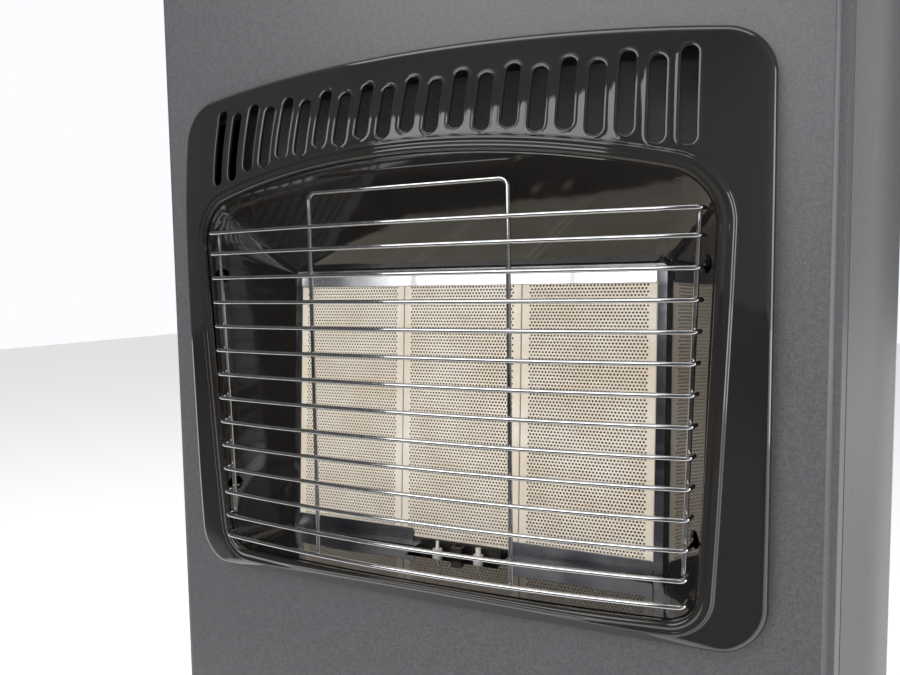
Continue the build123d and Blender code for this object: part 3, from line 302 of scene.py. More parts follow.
PLAQUE_UP = Vector((0, math.sin(LEAN), math.cos(LEAN)))
THROAT_MIDDLE = -0.0085
THROAT_HALF_X = 0.1242
THROAT_HALF_V = 0.0889
THROAT_ROUND = 0.004
NEARLY_FLAT = 1e-5


def on_plaque(x, v, w=0.0):
    """A point by its place across, up and out of the plaques' leaning plane."""
    return PLAQUE_ORIGIN + Vector((x, 0, 0)) + v * PLAQUE_UP + w * PLAQUE_NORMAL


def rounded_corner(level, bulge, radius, reach, way, side):
    """Where a corner's round touches the long arc and the side, given as its x at a height and its slope."""
    arc = math.copysign((reach ** 2 + bulge ** 2) / (2 * abs(bulge)), bulge)
    arc_z = level - way * arc
    near = abs(arc) - math.copysign(radius, arc)
    side_x, slope = side
    lean = 1 / math.hypot(1, slope)
    z = level - way * radius
    for _ in range(12):
        x = side_x(z) - radius / lean
        z = arc_z + way * math.copysign(math.sqrt(near ** 2 - x ** 2), arc)
    centre = Vector((x, z))
    arc_way = Vector((x, z - arc_z)).normalized() * math.copysign(1, arc)
    return centre, arc_way, Vector((lean, -slope * lean)), arc_z, arc


def rounded_outline(half_top, half_foot, top, top_bulge, foot, foot_bulge, top_round, foot_round):
    """A closed line: foot arc, corner, side, corner, top arc, corner, side, corner.

    top and foot are heights at the middle, and a bulge is how far the middle stands out from the ends."""
    long_count, corner_count, side_count = 190, 36, 130
    slope = (half_top - half_foot) / (top - top_bulge - foot - foot_bulge)
    side = (lambda z: half_foot + slope * (z - foot - foot_bulge), slope)
    top_centre, top_way, side_way, top_z, top_arc = rounded_corner(
        top, top_bulge, top_round, half_top, 1, side,
    )
    foot_centre, foot_way, _, foot_z, foot_arc = rounded_corner(
        foot, foot_bulge, foot_round, half_foot, -1, side,
    )

    def long_arc(centre_z, lift, start):
        begin = math.atan2(start.x, abs(start.y - centre_z))
        turns = [begin * (1 - 2 * step / long_count) for step in range(long_count)]
        return [Vector((abs(lift) * math.sin(t), centre_z + lift * math.cos(t))) for t in turns]

    def small_arc(centre, first, last, radius):
        begin, end = (math.atan2(v.y, v.x) for v in (first, last))
        turns = [begin + (end - begin) * step / corner_count for step in range(corner_count)]
        return [centre + radius * Vector((math.cos(t), math.sin(t))) for t in turns]

    def mirrored(run):
        return [Vector((-point.x, point.y)) for point in run]

    foot_end = foot_centre + foot_round * foot_way
    side_foot = foot_centre + foot_round * side_way
    side_top = top_centre + top_round * side_way
    top_end = top_centre + top_round * top_way
    right_foot = small_arc(foot_centre, foot_way, side_way, foot_round)
    right_side = [side_foot.lerp(side_top, step / side_count) for step in range(side_count)]
    right_top = small_arc(top_centre, side_way, top_way, top_round)
    runs = (
        mirrored(long_arc(foot_z, -foot_arc, foot_end)),
        right_foot,
        right_side,
        right_top,
        long_arc(top_z, top_arc, top_end),
        mirrored([*right_top[1:], top_end][::-1]),
        mirrored([*right_side[1:], side_top][::-1]),
        mirrored([*right_foot[1:], side_foot][::-1]),
    )
    return sum(runs, [])


def spline_through(knots, values):
    """Natural cubic spline, as a function."""
    count = len(knots)
    gaps = [knots[i + 1] - knots[i] for i in range(count - 1)]
    system = np.eye(count)
    target = np.zeros(count)
    for i in range(1, count - 1):
        system[i, i - 1:i + 2] = gaps[i - 1], 2 * (gaps[i - 1] + gaps[i]), gaps[i]
        rise = (values[i + 1] - values[i]) / gaps[i] - (values[i] - values[i - 1]) / gaps[i - 1]
        target[i] = 6 * rise
    bend = np.linalg.solve(system, target)

    def value(at):
        i = np.clip(np.searchsorted(knots, at) - 1, 0, count - 2)
        k, v, g = np.array(knots), np.array(values), np.array(gaps)[i]
        low, high = at - k[i], k[i + 1] - at
        cubic = (bend[i] * high ** 3 + bend[i + 1] * low ** 3) / (6 * g)
        return cubic + (v[i] / g - bend[i] * g / 6) * high + (v[i + 1] / g - bend[i + 1] * g / 6) * low

    return value


# height above the hearth, face before the bend plane at the middle, face behind it at the sides
STATIONS = (
    (-0.128, 0.0, 0.017),
    (-0.082, 0.0047, 0.0146),
    (0.0, 0.010, 0.0127),
    (0.104, 0.0154, 0.0123),
    (0.148, 0.013, 0.0146),
    (0.179, 0.0023, 0.0165),
    (0.210, -0.009, 0.019),
)
FACE_HALF = 0.1966
EDGE_FALL = 0.006
crown_at = spline_through([s[0] for s in STATIONS], [BEND_Y - s[1] for s in STATIONS])
edge_at = spline_through([s[0] for s in STATIONS], [BEND_Y + s[2] + EDGE_FALL for s in STATIONS])
CHIN_Z = 0.342
CHIN_Y = -0.2051
CHIN_BLEND = 0.0026


def face_y(x, z):
    """Depth of the plain domed face with its chin, for arrays of x and z."""
    crown, edge = crown_at(z - HEARTH_Z), edge_at(z - HEARTH_Z)
    fall = edge - crown
    radius = (FACE_HALF ** 2 + fall ** 2) / (2 * fall)
    dome = crown + radius - np.sqrt(radius ** 2 - x ** 2)
    chin = CHIN_Y + CHIN_Z - z
    blend = np.maximum(CHIN_BLEND - np.abs(dome - chin), 0)
    return np.maximum(dome, chin) + blend ** 2 / (4 * CHIN_BLEND)


rim_line = rounded_outline(
    half_top=0.1766, half_foot=0.1766, top=0.6361, top_bulge=0.0105, foot=0.3212, foot_bulge=0.0039,
    top_round=0.025, foot_round=0.025,
)
mouth_flat = rounded_outline(
    half_top=0.1715 - SHEET, half_foot=0.1650 - SHEET, top=HEARTH_Z + 0.1485 - SHEET, top_bulge=0.0095,
    foot=HEARTH_Z - 0.0995 + SHEET, foot_bulge=-0.0050, top_round=0.0348, foot_round=0.0238,
)
throat_flat = rounded_outline(
    half_top=THROAT_HALF_X - SHEET, half_foot=THROAT_HALF_X - SHEET,
    top=THROAT_HALF_V - SHEET, top_bulge=NEARLY_FLAT, foot=SHEET - THROAT_HALF_V, foot_bulge=NEARLY_FLAT,
    top_round=THROAT_ROUND - SHEET, foot_round=THROAT_ROUND - SHEET,
)


def mouth_edge():
    """Where each straight line of the funnel, from its flat mouth to its throat, meets the domed face."""
    near = np.array([(p.x, MOUTH_Y, p.y) for p in mouth_flat])
    far = np.array([on_plaque(p.x, p.y + THROAT_MIDDLE) for p in throat_flat])
    low, high = np.zeros(len(near)), np.ones(len(near))
    for _ in range(30):
        middle = (low + high) / 2
        spot = near + (far - near) * middle[:, None]
        before = spot[:, 1] < face_y(spot[:, 0], spot[:, 2])
        low, high = np.where(before, middle, low), np.where(before, high, middle)
    return [Vector((x, z)) for x, _, z in spot]


mouth_line = mouth_edge()
SLOT_COUNT, SLOT_PITCH, SLOT_HALF = 21, 0.01386, 0.0037
SLOT_FOOT, SLOT_TOP = HEARTH_Z + 0.1485, HEARTH_Z + 0.1787
SLOT_STAGGER, SLOT_BOW = 0.0033, 0.0165


def slot_ends(index):
    """Middle line of a slot: its x, and the heights of the centres of its two round ends."""
    x = (index - (SLOT_COUNT - 1) / 2) * SLOT_PITCH
    low = SLOT_STAGGER * (index % 2)
    span = SLOT_PITCH * (SLOT_COUNT - 1) / 2
    foot = SLOT_FOOT - low / 2 - SLOT_BOW * (x / span) ** 2
    return x, foot + SLOT_HALF, SLOT_TOP - low - SLOT_HALF


slots = [slot_ends(index) for index in range(SLOT_COUNT)]


def from_slots(x, z):
    """Distance to the nearest slot's edge, below zero inside a slot."""
    distances = [np.hypot(x - middle, z - np.clip(z, foot, top)) for middle, foot, top in slots]
    return np.min(distances, axis=0) - SLOT_HALF


def from_line(line, x, z):
    """Distance to a closed line: to the two runs beside its nearest corner."""
    tree = KDTree(len(line))
    for number, point in enumerate(line):
        tree.insert((point.x, point.y, 0), number)
    tree.balance()
    nearest = np.array([tree.find((a, b, 0))[1] for a, b in zip(x, z)])
    corners = np.array(line)
    here = np.stack((x, z), axis=1)
    found = []
    for shift in (-1, 0):
        start = corners[nearest + shift]
        run = corners[(nearest + shift + 1) % len(line)] - start
        along = np.clip(((here - start) * run).sum(axis=1) / (run ** 2).sum(axis=1), 0, 1)
        found.append(np.linalg.norm(here - start - along[:, None] * run, axis=1))
    return np.minimum(*found)


def roll(distance, radius):
    """How far a quarter-round edge lies below the face at a distance from its rim."""
    short = np.clip(1 - distance / radius, 0, 1)
    return radius * (1 - np.sqrt(1 - short ** 2))


BEAD_HEIGHT, VALLEY_DEPTH = 0.0025, 0.0006
RISE_WIDTH, VALLEY_WIDTH, FALL_WIDTH = 0.0022, 0.0040, 0.0026


def bead_rise(distance):
    """The bead's section: a round rise from the mouth, a shallow valley, and a round fall to the face."""
    in_valley = np.clip((distance - RISE_WIDTH) / VALLEY_WIDTH, 0, 1)
    in_fall = np.clip((distance - RISE_WIDTH - VALLEY_WIDTH) / FALL_WIDTH, 0, 1)
    rise = BEAD_HEIGHT * np.sqrt(1 - np.clip(1 - distance / RISE_WIDTH, 0, 1) ** 2)
    valley = VALLEY_DEPTH / 2 * (1 - np.cos(math.tau * in_valley))
    return rise - valley - BEAD_HEIGHT * (1 - np.cos(math.pi * in_fall)) / 2


RIM_ROUND, SLOT_ROUND = 0.0045, 0.0007
RIDGE_HEIGHT, RIDGE_PLACE, RIDGE_WIDTH = 0.00022, 0.0013, 0.0006


def pressed_y(x, z):
    """Depth of the whole pressing: dome, chin, rolled rim, bead and slot rims, each with a faint ridge."""
    off_slot = np.maximum(from_slots(x, z), 0)
    y = face_y(x, z) + roll(from_line(rim_line, x, z), RIM_ROUND) - bead_rise(from_line(mouth_line, x, z))
    ridge = RIDGE_HEIGHT * np.exp(-(((off_slot - RIDGE_PLACE) / RIDGE_WIDTH) ** 2))
    return y + roll(off_slot, SLOT_ROUND) - ridge


def outward_ways(x, z):
    """The pressing's normal at each point, from its slopes across and up."""
    step = 4e-5
    slope_x = (pressed_y(x + step, z) - pressed_y(x - step, z)) / (2 * step)
    slope_z = (pressed_y(x, z + step) - pressed_y(x, z - step)) / (2 * step)
    ways = np.stack((slope_x, -np.ones(len(x)), slope_z), axis=1)
    return ways / np.linalg.norm(ways, axis=1)[:, None]


def ringed(line, distance):
    """A copy of a closed line, moved to its left by a distance."""
    moved = []
    for number, point in enumerate(line):
        way = (line[(number + 1) % len(line)] - line[number - 1]).normalized()
        moved.append(point + distance * Vector((-way.y, way.x)))
    return moved


def inside(line, x, z):
    """Even-odd test of points against a closed line."""
    hits = np.zeros(len(x), bool)
    for first, last in zip(line, [*line[1:], line[0]]):
        crosses = (first.y > z) != (last.y > z)
        if first.y != last.y:
            at = first.x + (z - first.y) * (last.x - first.x) / (last.y - first.y)
            hits ^= crosses & (x < at)
    return hits


def slot_line(x, foot, top):
    """A slot's edge: two half circles and two straight sides."""
    turns = [math.pi * step / 10 for step in range(11)]
    upper = [Vector((x + SLOT_HALF * math.cos(t), top + SLOT_HALF * math.sin(t))) for t in turns]
    lower = [Vector((x - SLOT_HALF * math.cos(t), foot - SLOT_HALF * math.sin(t))) for t in turns]
    between = [step / 16 for step in range(1, 16)]
    left = [upper[-1].lerp(lower[0], f) for f in between]
    right = [lower[-1].lerp(upper[0], f) for f in between]
    return [*upper, *left, *lower, *right]


RIM_RINGS = (0.0001, 0.0004, 0.0009, 0.0015, 0.0022, 0.0030, 0.0038, 0.0046, 0.0058)
BEAD_RINGS = (
    0.0001, 0.0003, 0.0007, 0.0012, 0.0017, 0.0022, 0.0030, 0.0038,
    0.0046, 0.0054, 0.0062, 0.0068, 0.0075, 0.0082, 0.0088, 0.0098,
)
SLOT_RINGS = (0.0001, 0.0003, 0.0005, 0.0007, 0.0010, 0.0013, 0.0016, 0.0020, 0.0025)
GRID_COLUMNS, GRID_ROWS = 119, 110
GRID_PITCH, GRID_RISE = 0.0030, 0.0029
GRID_LEFT, GRID_FOOT = -0.177, 0.320
OFF_RIM, OFF_BEAD, OFF_SLOT = 0.0066, 0.0108, 0.0032
LEAST_GAP = 0.00008


def coordinates(points):
    """Arrays of the x and z of flat points."""
    return (np.array([point[axis] for point in points]) for axis in (0, 1))


def face_points(slot_lines):
    """Points over the face: rings that follow every edge, and a staggered grid between them."""
    edge_rings = [(rim_line, 1, RIM_RINGS), (mouth_line, -1, BEAD_RINGS)]
    edge_rings += [(line, -1, SLOT_RINGS) for line in slot_lines]
    points = []
    for line, way, distances in edge_rings:
        for distance in distances:
            points += ringed(line, way * distance)
    for row in range(GRID_ROWS):
        for column in range(GRID_COLUMNS):
            across = GRID_LEFT + (column + row % 2 / 2) * GRID_PITCH
            points.append(Vector((across, GRID_FOOT + row * GRID_RISE)))
    x, z = coordinates(points)
    off_rim, off_mouth, off_slot = from_line(rim_line, x, z), from_line(mouth_line, x, z), from_slots(x, z)
    in_grid = np.arange(len(points)) >= len(points) - GRID_ROWS * GRID_COLUMNS
    kept = inside(rim_line, x, z) & ~inside(mouth_line, x, z)
    kept &= np.minimum(np.minimum(off_rim, off_mouth), off_slot) > LEAST_GAP
    kept &= ~in_grid | ((off_rim > OFF_RIM) & (off_mouth > OFF_BEAD) & (off_slot > OFF_SLOT))
    return [point for point, keep in zip(points, kept) if keep]


def face_triangles():
    """The face cut into triangles: arrays of x and z, the rim's points first, and each triangle's corners."""
    slot_lines = [slot_line(*slot) for slot in slots]
    points, edges = [], []
    for line in (rim_line, mouth_line, *slot_lines):
        start = len(points)
        points += line
        edges += [(start + n, start + (n + 1) % len(line)) for n in range(len(line))]
    points += face_points(slot_lines)
    flat, _, triangles, *_ = geometry.delaunay_2d_cdt(points, edges, [], 0, 1e-6)
    x, z = coordinates(flat)
    corners = np.array(triangles)
    middle = x[corners].mean(axis=1), z[corners].mean(axis=1)
    solid = inside(rim_line, *middle) & ~inside(mouth_line, *middle) & (from_slots(*middle) > 0)
    return x, z, corners[solid]


def as_mesh(shell, name):
    """A mesh from a finished bmesh."""
    mesh = bpy.data.meshes.new(name)
    shell.to_mesh(mesh)
    shell.free()
    return mesh


def surround_mesh():
    """The pressed face, doubled by a back face at the sheet's thickness and joined to it by walls."""
    x, z, triangles = face_triangles()
    y = pressed_y(x, z)
    outward = outward_ways(x, z)
    on_rim = np.arange(len(x)) < len(rim_line)
    back = np.where(on_rim, PANEL_Y, np.minimum(y + SHEET, PANEL_Y))
    shell = bmesh.new()
    facing = shell.verts.layers.float_vector.new("outward")
    front_verts = [shell.verts.new(spot) for spot in zip(x, y, z)]
    back_verts = [shell.verts.new(spot) for spot in zip(x, back, z)]
    for vert, way in zip([*front_verts, *back_verts], [*outward, *-outward]):
        vert[facing] = way
    for a, b, c in triangles:
        turn = (x[b] - x[a]) * (z[c] - z[a]) - (x[c] - x[a]) * (z[b] - z[a])
        order = (a, b, c) if turn > 0 else (a, c, b)
        shell.faces.new([front_verts[n] for n in order])
        shell.faces.new([back_verts[n] for n in order[::-1]])
    twin = dict(zip(front_verts, back_verts))
    for edge in [edge for edge in shell.edges if edge.is_boundary and edge.verts[0] in twin]:
        loop = edge.link_loops[0]
        first, last = loop.vert, loop.link_loop_next.vert
        shell.faces.new((last, first, twin[first], twin[last]))
    loose = [vert for vert in shell.verts if not vert.link_faces]
    bmesh.ops.delete(shell, geom=loose, context="VERTS")
    mesh = as_mesh(shell, "surround pressing")
    mesh.shade_smooth()
    ways = np.zeros(3 * len(mesh.vertices), np.float32)
    mesh.attributes["outward"].data.foreach_get("vector", ways)
    ways = ways.reshape(-1, 3)
    corner_ways = []
    for polygon in mesh.polygons:
        wall = len(polygon.vertices) == 4
        corner_ways += [polygon.normal if wall else ways[n] for n in polygon.vertices]
    mesh.normals_split_custom_set(corner_ways)
    mesh.attributes.remove(mesh.attributes["outward"])
    mesh.materials.append(enamel)
    return mesh


bezel = set_out("surround_pressing", surround_mesh())
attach(bezel, nodes["bezel"]["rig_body"])
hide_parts("bezel")


# ---------------------------------------------------------------- funnel
# The funnel behind the surround is enamelled the same. Its walls run straight from the mouth to a
# rounded throat round the burner, with holes for the guard's hooks and a notch for the pilot.
dress("reflector", enamel, smooth=24.0)


# ---------------------------------------------------------------- wire guard
# Fourteen bowed bars of bright plated 2.5 mm wire, welded to two side rods and to one U-shaped brace
# behind them. The third and the twelfth bar are longer and hook through the funnel's walls.
plating = mottled(
    "bright plating", (0.52, 0.52, 0.525), (0.66, 0.66, 0.655), 0.05, 0.12,
    metal=1.0, cloud=220.0, share=0.7, bump=0.02,
)


def wire_bender():
    """Node group that turns a run of edges into round wire with filleted bends."""
    group, start, end = new_group(
        "wire bender", "GeometryNodeTree",
        {"Geometry": "Geometry", "Wire radius": "Float", "Bend radius": "Float", "Material": "Material"},
        {"Geometry": "Geometry"},
    )
    run = placed(group, "GeometryNodeMeshToCurve")
    bend = placed(group, "GeometryNodeFilletCurve", mode="POLY", Count=5, Limit_Radius=True)
    section = placed(group, "GeometryNodeCurvePrimitiveCircle", Resolution=14)
    draw = placed(group, "GeometryNodeCurveToMesh", Fill_Caps=True)
    solid = placed(group, "GeometryNodeRealizeInstances")
    finish = placed(group, "GeometryNodeSetMaterial")
    wired(
        group,
        (start, "Geometry", run, "Mesh"),
        (run, "Curve", bend, "Curve"),
        (start, "Bend radius", bend, "Radius"),
        (start, "Wire radius", section, "Radius"),
        (bend, "Curve", draw, "Curve"),
        (section, "Curve", draw, "Profile Curve"),
        (draw, "Mesh", solid, "Geometry"),
        (solid, "Geometry", finish, "Geometry"),
        (start, "Material", finish, "Material"),
        (finish, "Geometry", end, "Geometry"),
    )
    return group


def settled(carrier):
    """The mesh that an object's modifiers make; the object is taken away."""
    bpy.context.view_layer.update()
    graph = bpy.context.evaluated_depsgraph_get()
    mesh = bpy.data.meshes.new_from_object(carrier.evaluated_get(graph))
    bpy.data.objects.remove(carrier)
    return mesh


def made_by(group, base, name, body, **values):
    """Runs a geometry node group on a mesh once and keeps the result as a plain mesh on a CAD body."""
    carrier = set_out(name + "_carrier", base)
    maker = carrier.modifiers.new("maker", "NODES")
    maker.node_group = group
    for item in group.interface.items_tree:
        if item.item_type == "SOCKET" and item.in_out == "INPUT" and item.name in values:
            maker[item.identifier] = values[item.name]
    mesh = settled(carrier)
    mesh.name = name
    piece = set_out(name, mesh)
    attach(piece, body)
    return piece


BAR_COUNT, BAR_PITCH = 14, 0.015
TOP_BAR, FOOT_BAR = 0.1028, -0.0880
MIDDLE_HALF, HALF_SLOPE = 0.14145, 0.033
BOW, BOW_STEPS = 0.0106, 18
HOOKED_BARS = (2, 11)
HOOK_BACK, TIP_BACK, TIP_SPLAY = 0.022, 0.008, 0.2
WIRE, WIRE_BEND = 0.0025, 0.0042
ROD_Y = BEND_Y + 0.0075
ROD_FOOT = -0.075
ROD_INSET = 0.0015 - WIRE * 0.95


def bar_height(index):
    """Height of a bar above the hearth's datum; the end bars sit closer to their neighbours."""
    return {0: TOP_BAR, BAR_COUNT - 1: FOOT_BAR}.get(index, (BAR_COUNT / 2 - index) * BAR_PITCH)


def bar_half(height):
    """Half a bar's width at a height: the guard narrows downwards."""
    return MIDDLE_HALF + HALF_SLOPE * height


def bow(x, half):
    """How far a bar stands out in front of its ends."""
    return BOW * (1 - (x / half) ** 2)


BRACE_LEFT, BRACE_RIGHT = -0.0654, 0.0538
BRACE_TOP, BRACE_FOOT = HEARTH_Z + 0.1218, HEARTH_Z - 0.0880
BRACE_Y = BEND_Y - bow((BRACE_RIGHT - BRACE_LEFT) / 2, MIDDLE_HALF) + WIRE * 0.85
wires = bmesh.new()


def lay(points):
    """One wire's run, as edges from point to point."""
    verts = [wires.verts.new(point) for point in points]
    for first, second in zip(verts, verts[1:]):
        wires.edges.new((first, second))


for index in range(BAR_COUNT):
    height = bar_height(index)
    half = bar_half(height)
    back = HOOK_BACK if index in HOOKED_BARS else TIP_BACK
    tip = (half + TIP_SPLAY * back, BEND_Y + back, HEARTH_Z + height)
    span = [half * (2 * step / BOW_STEPS - 1) for step in range(BOW_STEPS + 1)]
    run = [(x, BEND_Y - bow(x, half), HEARTH_Z + height) for x in span]
    lay([(-tip[0], *tip[1:]), *run, tip])
for side in (-1, 1):
    lay([(side * (bar_half(height) + ROD_INSET), ROD_Y, HEARTH_Z + height) for height in (TOP_BAR, ROD_FOOT)])
lay([
    (BRACE_LEFT, BRACE_Y, BRACE_FOOT),
    (BRACE_LEFT, BRACE_Y, BRACE_TOP),
    (BRACE_RIGHT, BRACE_Y, BRACE_TOP),
    (BRACE_RIGHT, BRACE_Y, BRACE_FOOT),
])
guard = made_by(
    wire_bender(), as_mesh(wires, "wire runs"), "wire_guard_drawn", nodes["wire_guard"]["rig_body"],
    **{"Wire radius": WIRE / 2, "Bend radius": WIRE_BEND, "Material": plating},
)
guard.data.shade_smooth()
guard.data.set_sharp_from_angle(angle=math.radians(50))
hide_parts("wire_guard")


# ---------------------------------------------------------------- plaques
# Three cordierite plaques, pressed and fired, each with rows of fine staggered flame holes. The field
# of holes leaves a plain border, and the holes carry painted shade, darker and browner with depth.
PLAQUE_WIDTH, PLAQUE_TALL, PLAQUE_THICK, PLAQUE_EASE = 0.0785, 0.165, 0.013, 0.0005
PLAQUE_PITCH = 0.0788
HOLE_PITCH, ROW_PITCH = 0.0020, 0.00195
HOLE_COLUMNS, HOLE_ROWS = 35, 83
HOLE_RADIUS, HOLE_DEPTH, HOLE_SIDES = 0.00064, 0.0026, 8
ceramic = mottled(
    "fired cordierite", (0.80, 0.68, 0.54), (0.90, 0.84, 0.73), 0.75, 0.9, cloud=38.0, share=0.75, bump=0.2,
)


def paint_shade_in_holes(material):
    """Paints shade into the holes: the ceramic turns dark brown with depth below the plaque's face."""
    tree = material.node_tree
    place = placed(tree, "ShaderNodeTexCoord")
    lift = placed(tree, "ShaderNodeVectorMath", operation="SUBTRACT")
    lift.inputs[1].default_value = PLAQUE_ORIGIN
    level = placed(tree, "ShaderNodeVectorMath", operation="DOT_PRODUCT")
    level.inputs[1].default_value = PLAQUE_NORMAL
    depth = placed(tree, "ShaderNodeMapRange", From_Min=-0.00005, From_Max=-0.0011)
    wired(
        tree,
        (place, "Object", lift, 0),
        (lift, "Vector", level, 0),
        (level, "Value", depth, "Value"),
    )
    toned(material, (0.115, 0.040, 0.018), depth, "Result")


# painted shade in the flame holes, deepening towards each hole's foot
paint_shade_in_holes(ceramic)


def band(shell, low, high):
    """Faces between two closed loops of corners."""
    for step in range(len(low)):
        after = (step + 1) % len(low)
        shell.faces.new((low[step], low[after], high[after], high[step]))


def hole_cell():
    """One cell of the field: a plain rim round one blind hole, with its face at w = 0."""
    x, v = HOLE_PITCH / 2, ROW_PITCH / 2
    rim = ((x, v), (0, v), (-x, v), (-x, -v), (0, -v), (x, -v))
    turns = [math.tau * (step + 0.5) / HOLE_SIDES for step in range(HOLE_SIDES)]
    mouth = [(HOLE_RADIUS * math.cos(t), HOLE_RADIUS * math.sin(t)) for t in turns]
    cell = bmesh.new()
    outer = [cell.verts.new((x, v, 0)) for x, v in rim]
    lip = [cell.verts.new((x, v, 0)) for x, v in mouth]
    foot = [cell.verts.new((x, v, -HOLE_DEPTH)) for x, v in mouth]
    fans = ((0, 1), (1, 3), (3, 4), (4, 5), (5, 7), (7, 8))
    for corner, (first, last) in enumerate(fans):
        following = outer[(corner + 1) % len(outer)]
        for step in range(first, last):
            cell.faces.new((outer[corner], lip[(step + 1) % HOLE_SIDES], lip[step]))
        cell.faces.new((outer[corner], following, lip[last % HOLE_SIDES]))
    band(cell, lip, foot)
    cell.faces.new(foot)
    return bpy.data.objects.new("hole cell", as_mesh(cell, "hole cell"))


def field_maker():
    """Node group that sets a cell on every point of a field and joins the cells to the mesh it runs on."""
    group, start, end = new_group(
        "field of cells", "GeometryNodeTree",
        {
            "Geometry": "Geometry", "Field": "Object", "Cell": "Object", "Turn": "Vector",
            "Material": "Material",
        },
        {"Geometry": "Geometry"},
    )
    field, cell = placed(group, "GeometryNodeObjectInfo"), placed(group, "GeometryNodeObjectInfo")
    place = placed(group, "GeometryNodeInstanceOnPoints")
    solid = placed(group, "GeometryNodeRealizeInstances")
    join = placed(group, "GeometryNodeJoinGeometry")
    weld = placed(group, "GeometryNodeMergeByDistance", Distance=2e-5)
    finish = placed(group, "GeometryNodeSetMaterial")
    wired(
        group,
        (start, "Field", field, "Object"),
        (start, "Cell", cell, "Object"),
        (start, "Turn", place, "Rotation"),
        (field, "Geometry", place, "Points"),
        (cell, "Geometry", place, "Instance"),
        (place, "Instances", solid, "Geometry"),
        (solid, "Geometry", join, "Geometry"),
        (start, "Geometry", join, "Geometry"),
        (join, "Geometry", weld, "Geometry"),
        (weld, "Geometry", finish, "Geometry"),
        (start, "Material", finish, "Material"),
        (finish, "Geometry", end, "Geometry"),
    )
    return group


def row_is_full(row):
    """Every other row is full; the rows between hold one hole fewer, half a pitch over."""
    return row % 2 == 0


def field_points(centre_x):
    """Middle of every hole of a plaque."""
    points = bmesh.new()
    for row in range(HOLE_ROWS):
        count = HOLE_COLUMNS if row_is_full(row) else HOLE_COLUMNS - 1
        v = THROAT_MIDDLE + (row - (HOLE_ROWS - 1) / 2) * ROW_PITCH
        for column in range(count):
            points.verts.new(on_plaque(centre_x + (column - (count - 1) / 2) * HOLE_PITCH, v))
    return bpy.data.objects.new("field points", as_mesh(points, "field points"))


def plaque_body(centre_x):
    """The plain rest of a plaque: border, eased edge, sides and back, open where the field goes."""
    half_field = HOLE_COLUMNS * HOLE_PITCH / 2
    field_foot = THROAT_MIDDLE - HOLE_ROWS * ROW_PITCH / 2
    body = bmesh.new()

    def corner_loop(inset, w):
        half_x, half_v = PLAQUE_WIDTH / 2 - inset, PLAQUE_TALL / 2 - inset
        corners = ((-half_x, -half_v), (half_x, -half_v), (half_x, half_v), (-half_x, half_v))
        return [body.verts.new(on_plaque(centre_x + x, THROAT_MIDDLE + v, w)) for x, v in corners]

    face_loop = corner_loop(PLAQUE_EASE, 0)
    edge_loop = corner_loop(0, -PLAQUE_EASE)
    back_loop = corner_loop(0, -PLAQUE_THICK)
    band(body, edge_loop, face_loop)
    band(body, back_loop, edge_loop)
    body.faces.new(back_loop[::-1])
    levels = [field_foot + row * ROW_PITCH for row in range(HOLE_ROWS + 1)]
    sides = {}
    for side in (-1, 1):
        outer = [body.verts.new(on_plaque(centre_x + side * half_field, v)) for v in levels]
        for row in range(HOLE_ROWS):
            if row_is_full(row):
                continue
            notch = half_field - HOLE_PITCH / 2
            inner = [body.verts.new(on_plaque(centre_x + side * notch, v)) for v in levels[row:row + 2]]
            body.faces.new((outer[row], inner[0], inner[1], outer[row + 1])[::-side])
        sides[side] = outer
    steps = [-half_field + half_step * HOLE_PITCH / 2 for half_step in range(2 * HOLE_COLUMNS + 1)]
    rows = {}
    for level in (0, HOLE_ROWS):
        middle = [body.verts.new(on_plaque(centre_x + x, levels[level])) for x in steps[1:-1]]
        rows[level] = [sides[-1][level], *middle, sides[1][level]]
    low_left, low_right, high_right, high_left = face_loop
    body.faces.new([low_left, low_right, *reversed(rows[0])])
    body.faces.new([high_right, high_left, *rows[HOLE_ROWS]])
    body.faces.new([low_right, high_right, *reversed(sides[1])])
    body.faces.new([high_left, low_left, *sides[-1]])
    bmesh.ops.triangulate(body, faces=body.faces)
    return as_mesh(body, "plaque body")


cell = hole_cell()
field_group = field_maker()
for step, side in enumerate(("left", "middle", "right")):
    centre_x = (step - 1) * PLAQUE_PITCH
    plaque = made_by(
        field_group, plaque_body(centre_x), f"plaque_{side}_pierced", nodes[f"plaque_{side}"]["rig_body"],
        Field=field_points(centre_x), Cell=cell, Turn=(math.pi / 2 - LEAN, 0, 0), Material=ceramic,
    )
    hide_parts(f"plaque_{side}")
fibre = mottled(
    "graphite coated fibre sheet", (0.030, 0.029, 0.028), (0.050, 0.048, 0.046), 0.9, 0.98,
    cloud=80.0, grain=1500.0, bump=0.4,
)
dress("plaque_seal", fibre)


# ---------------------------------------------------------------- retainer strips
# Polished stainless strips, cut from thin sheet, that lap the plaques' top and bottom edges. The heat
# has tinted the two foot strips and the burner box behind them.
strip_steel = mottled(
    "polished stainless strip", (0.46, 0.47, 0.50), (0.66, 0.66, 0.66), 0.12, 0.20,
    metal=1.0, cloud=24.0, grain=120.0, share=1.0, bump=0.0,
)
dress("top_retainer_strip", strip_steel, edge=0.0002)
foot_steel = mottled(
    "heat-tinted stainless strip", (0.16, 0.165, 0.19), (0.28, 0.28, 0.29), 0.16, 0.24,
    metal=1.0, grain=150.0, share=1.0, bump=0.0,
)
for node in ("left_foot_retainer_strip", "right_foot_retainer_strip", "burner_box"):
    dress(node, foot_steel, edge=0.0002)


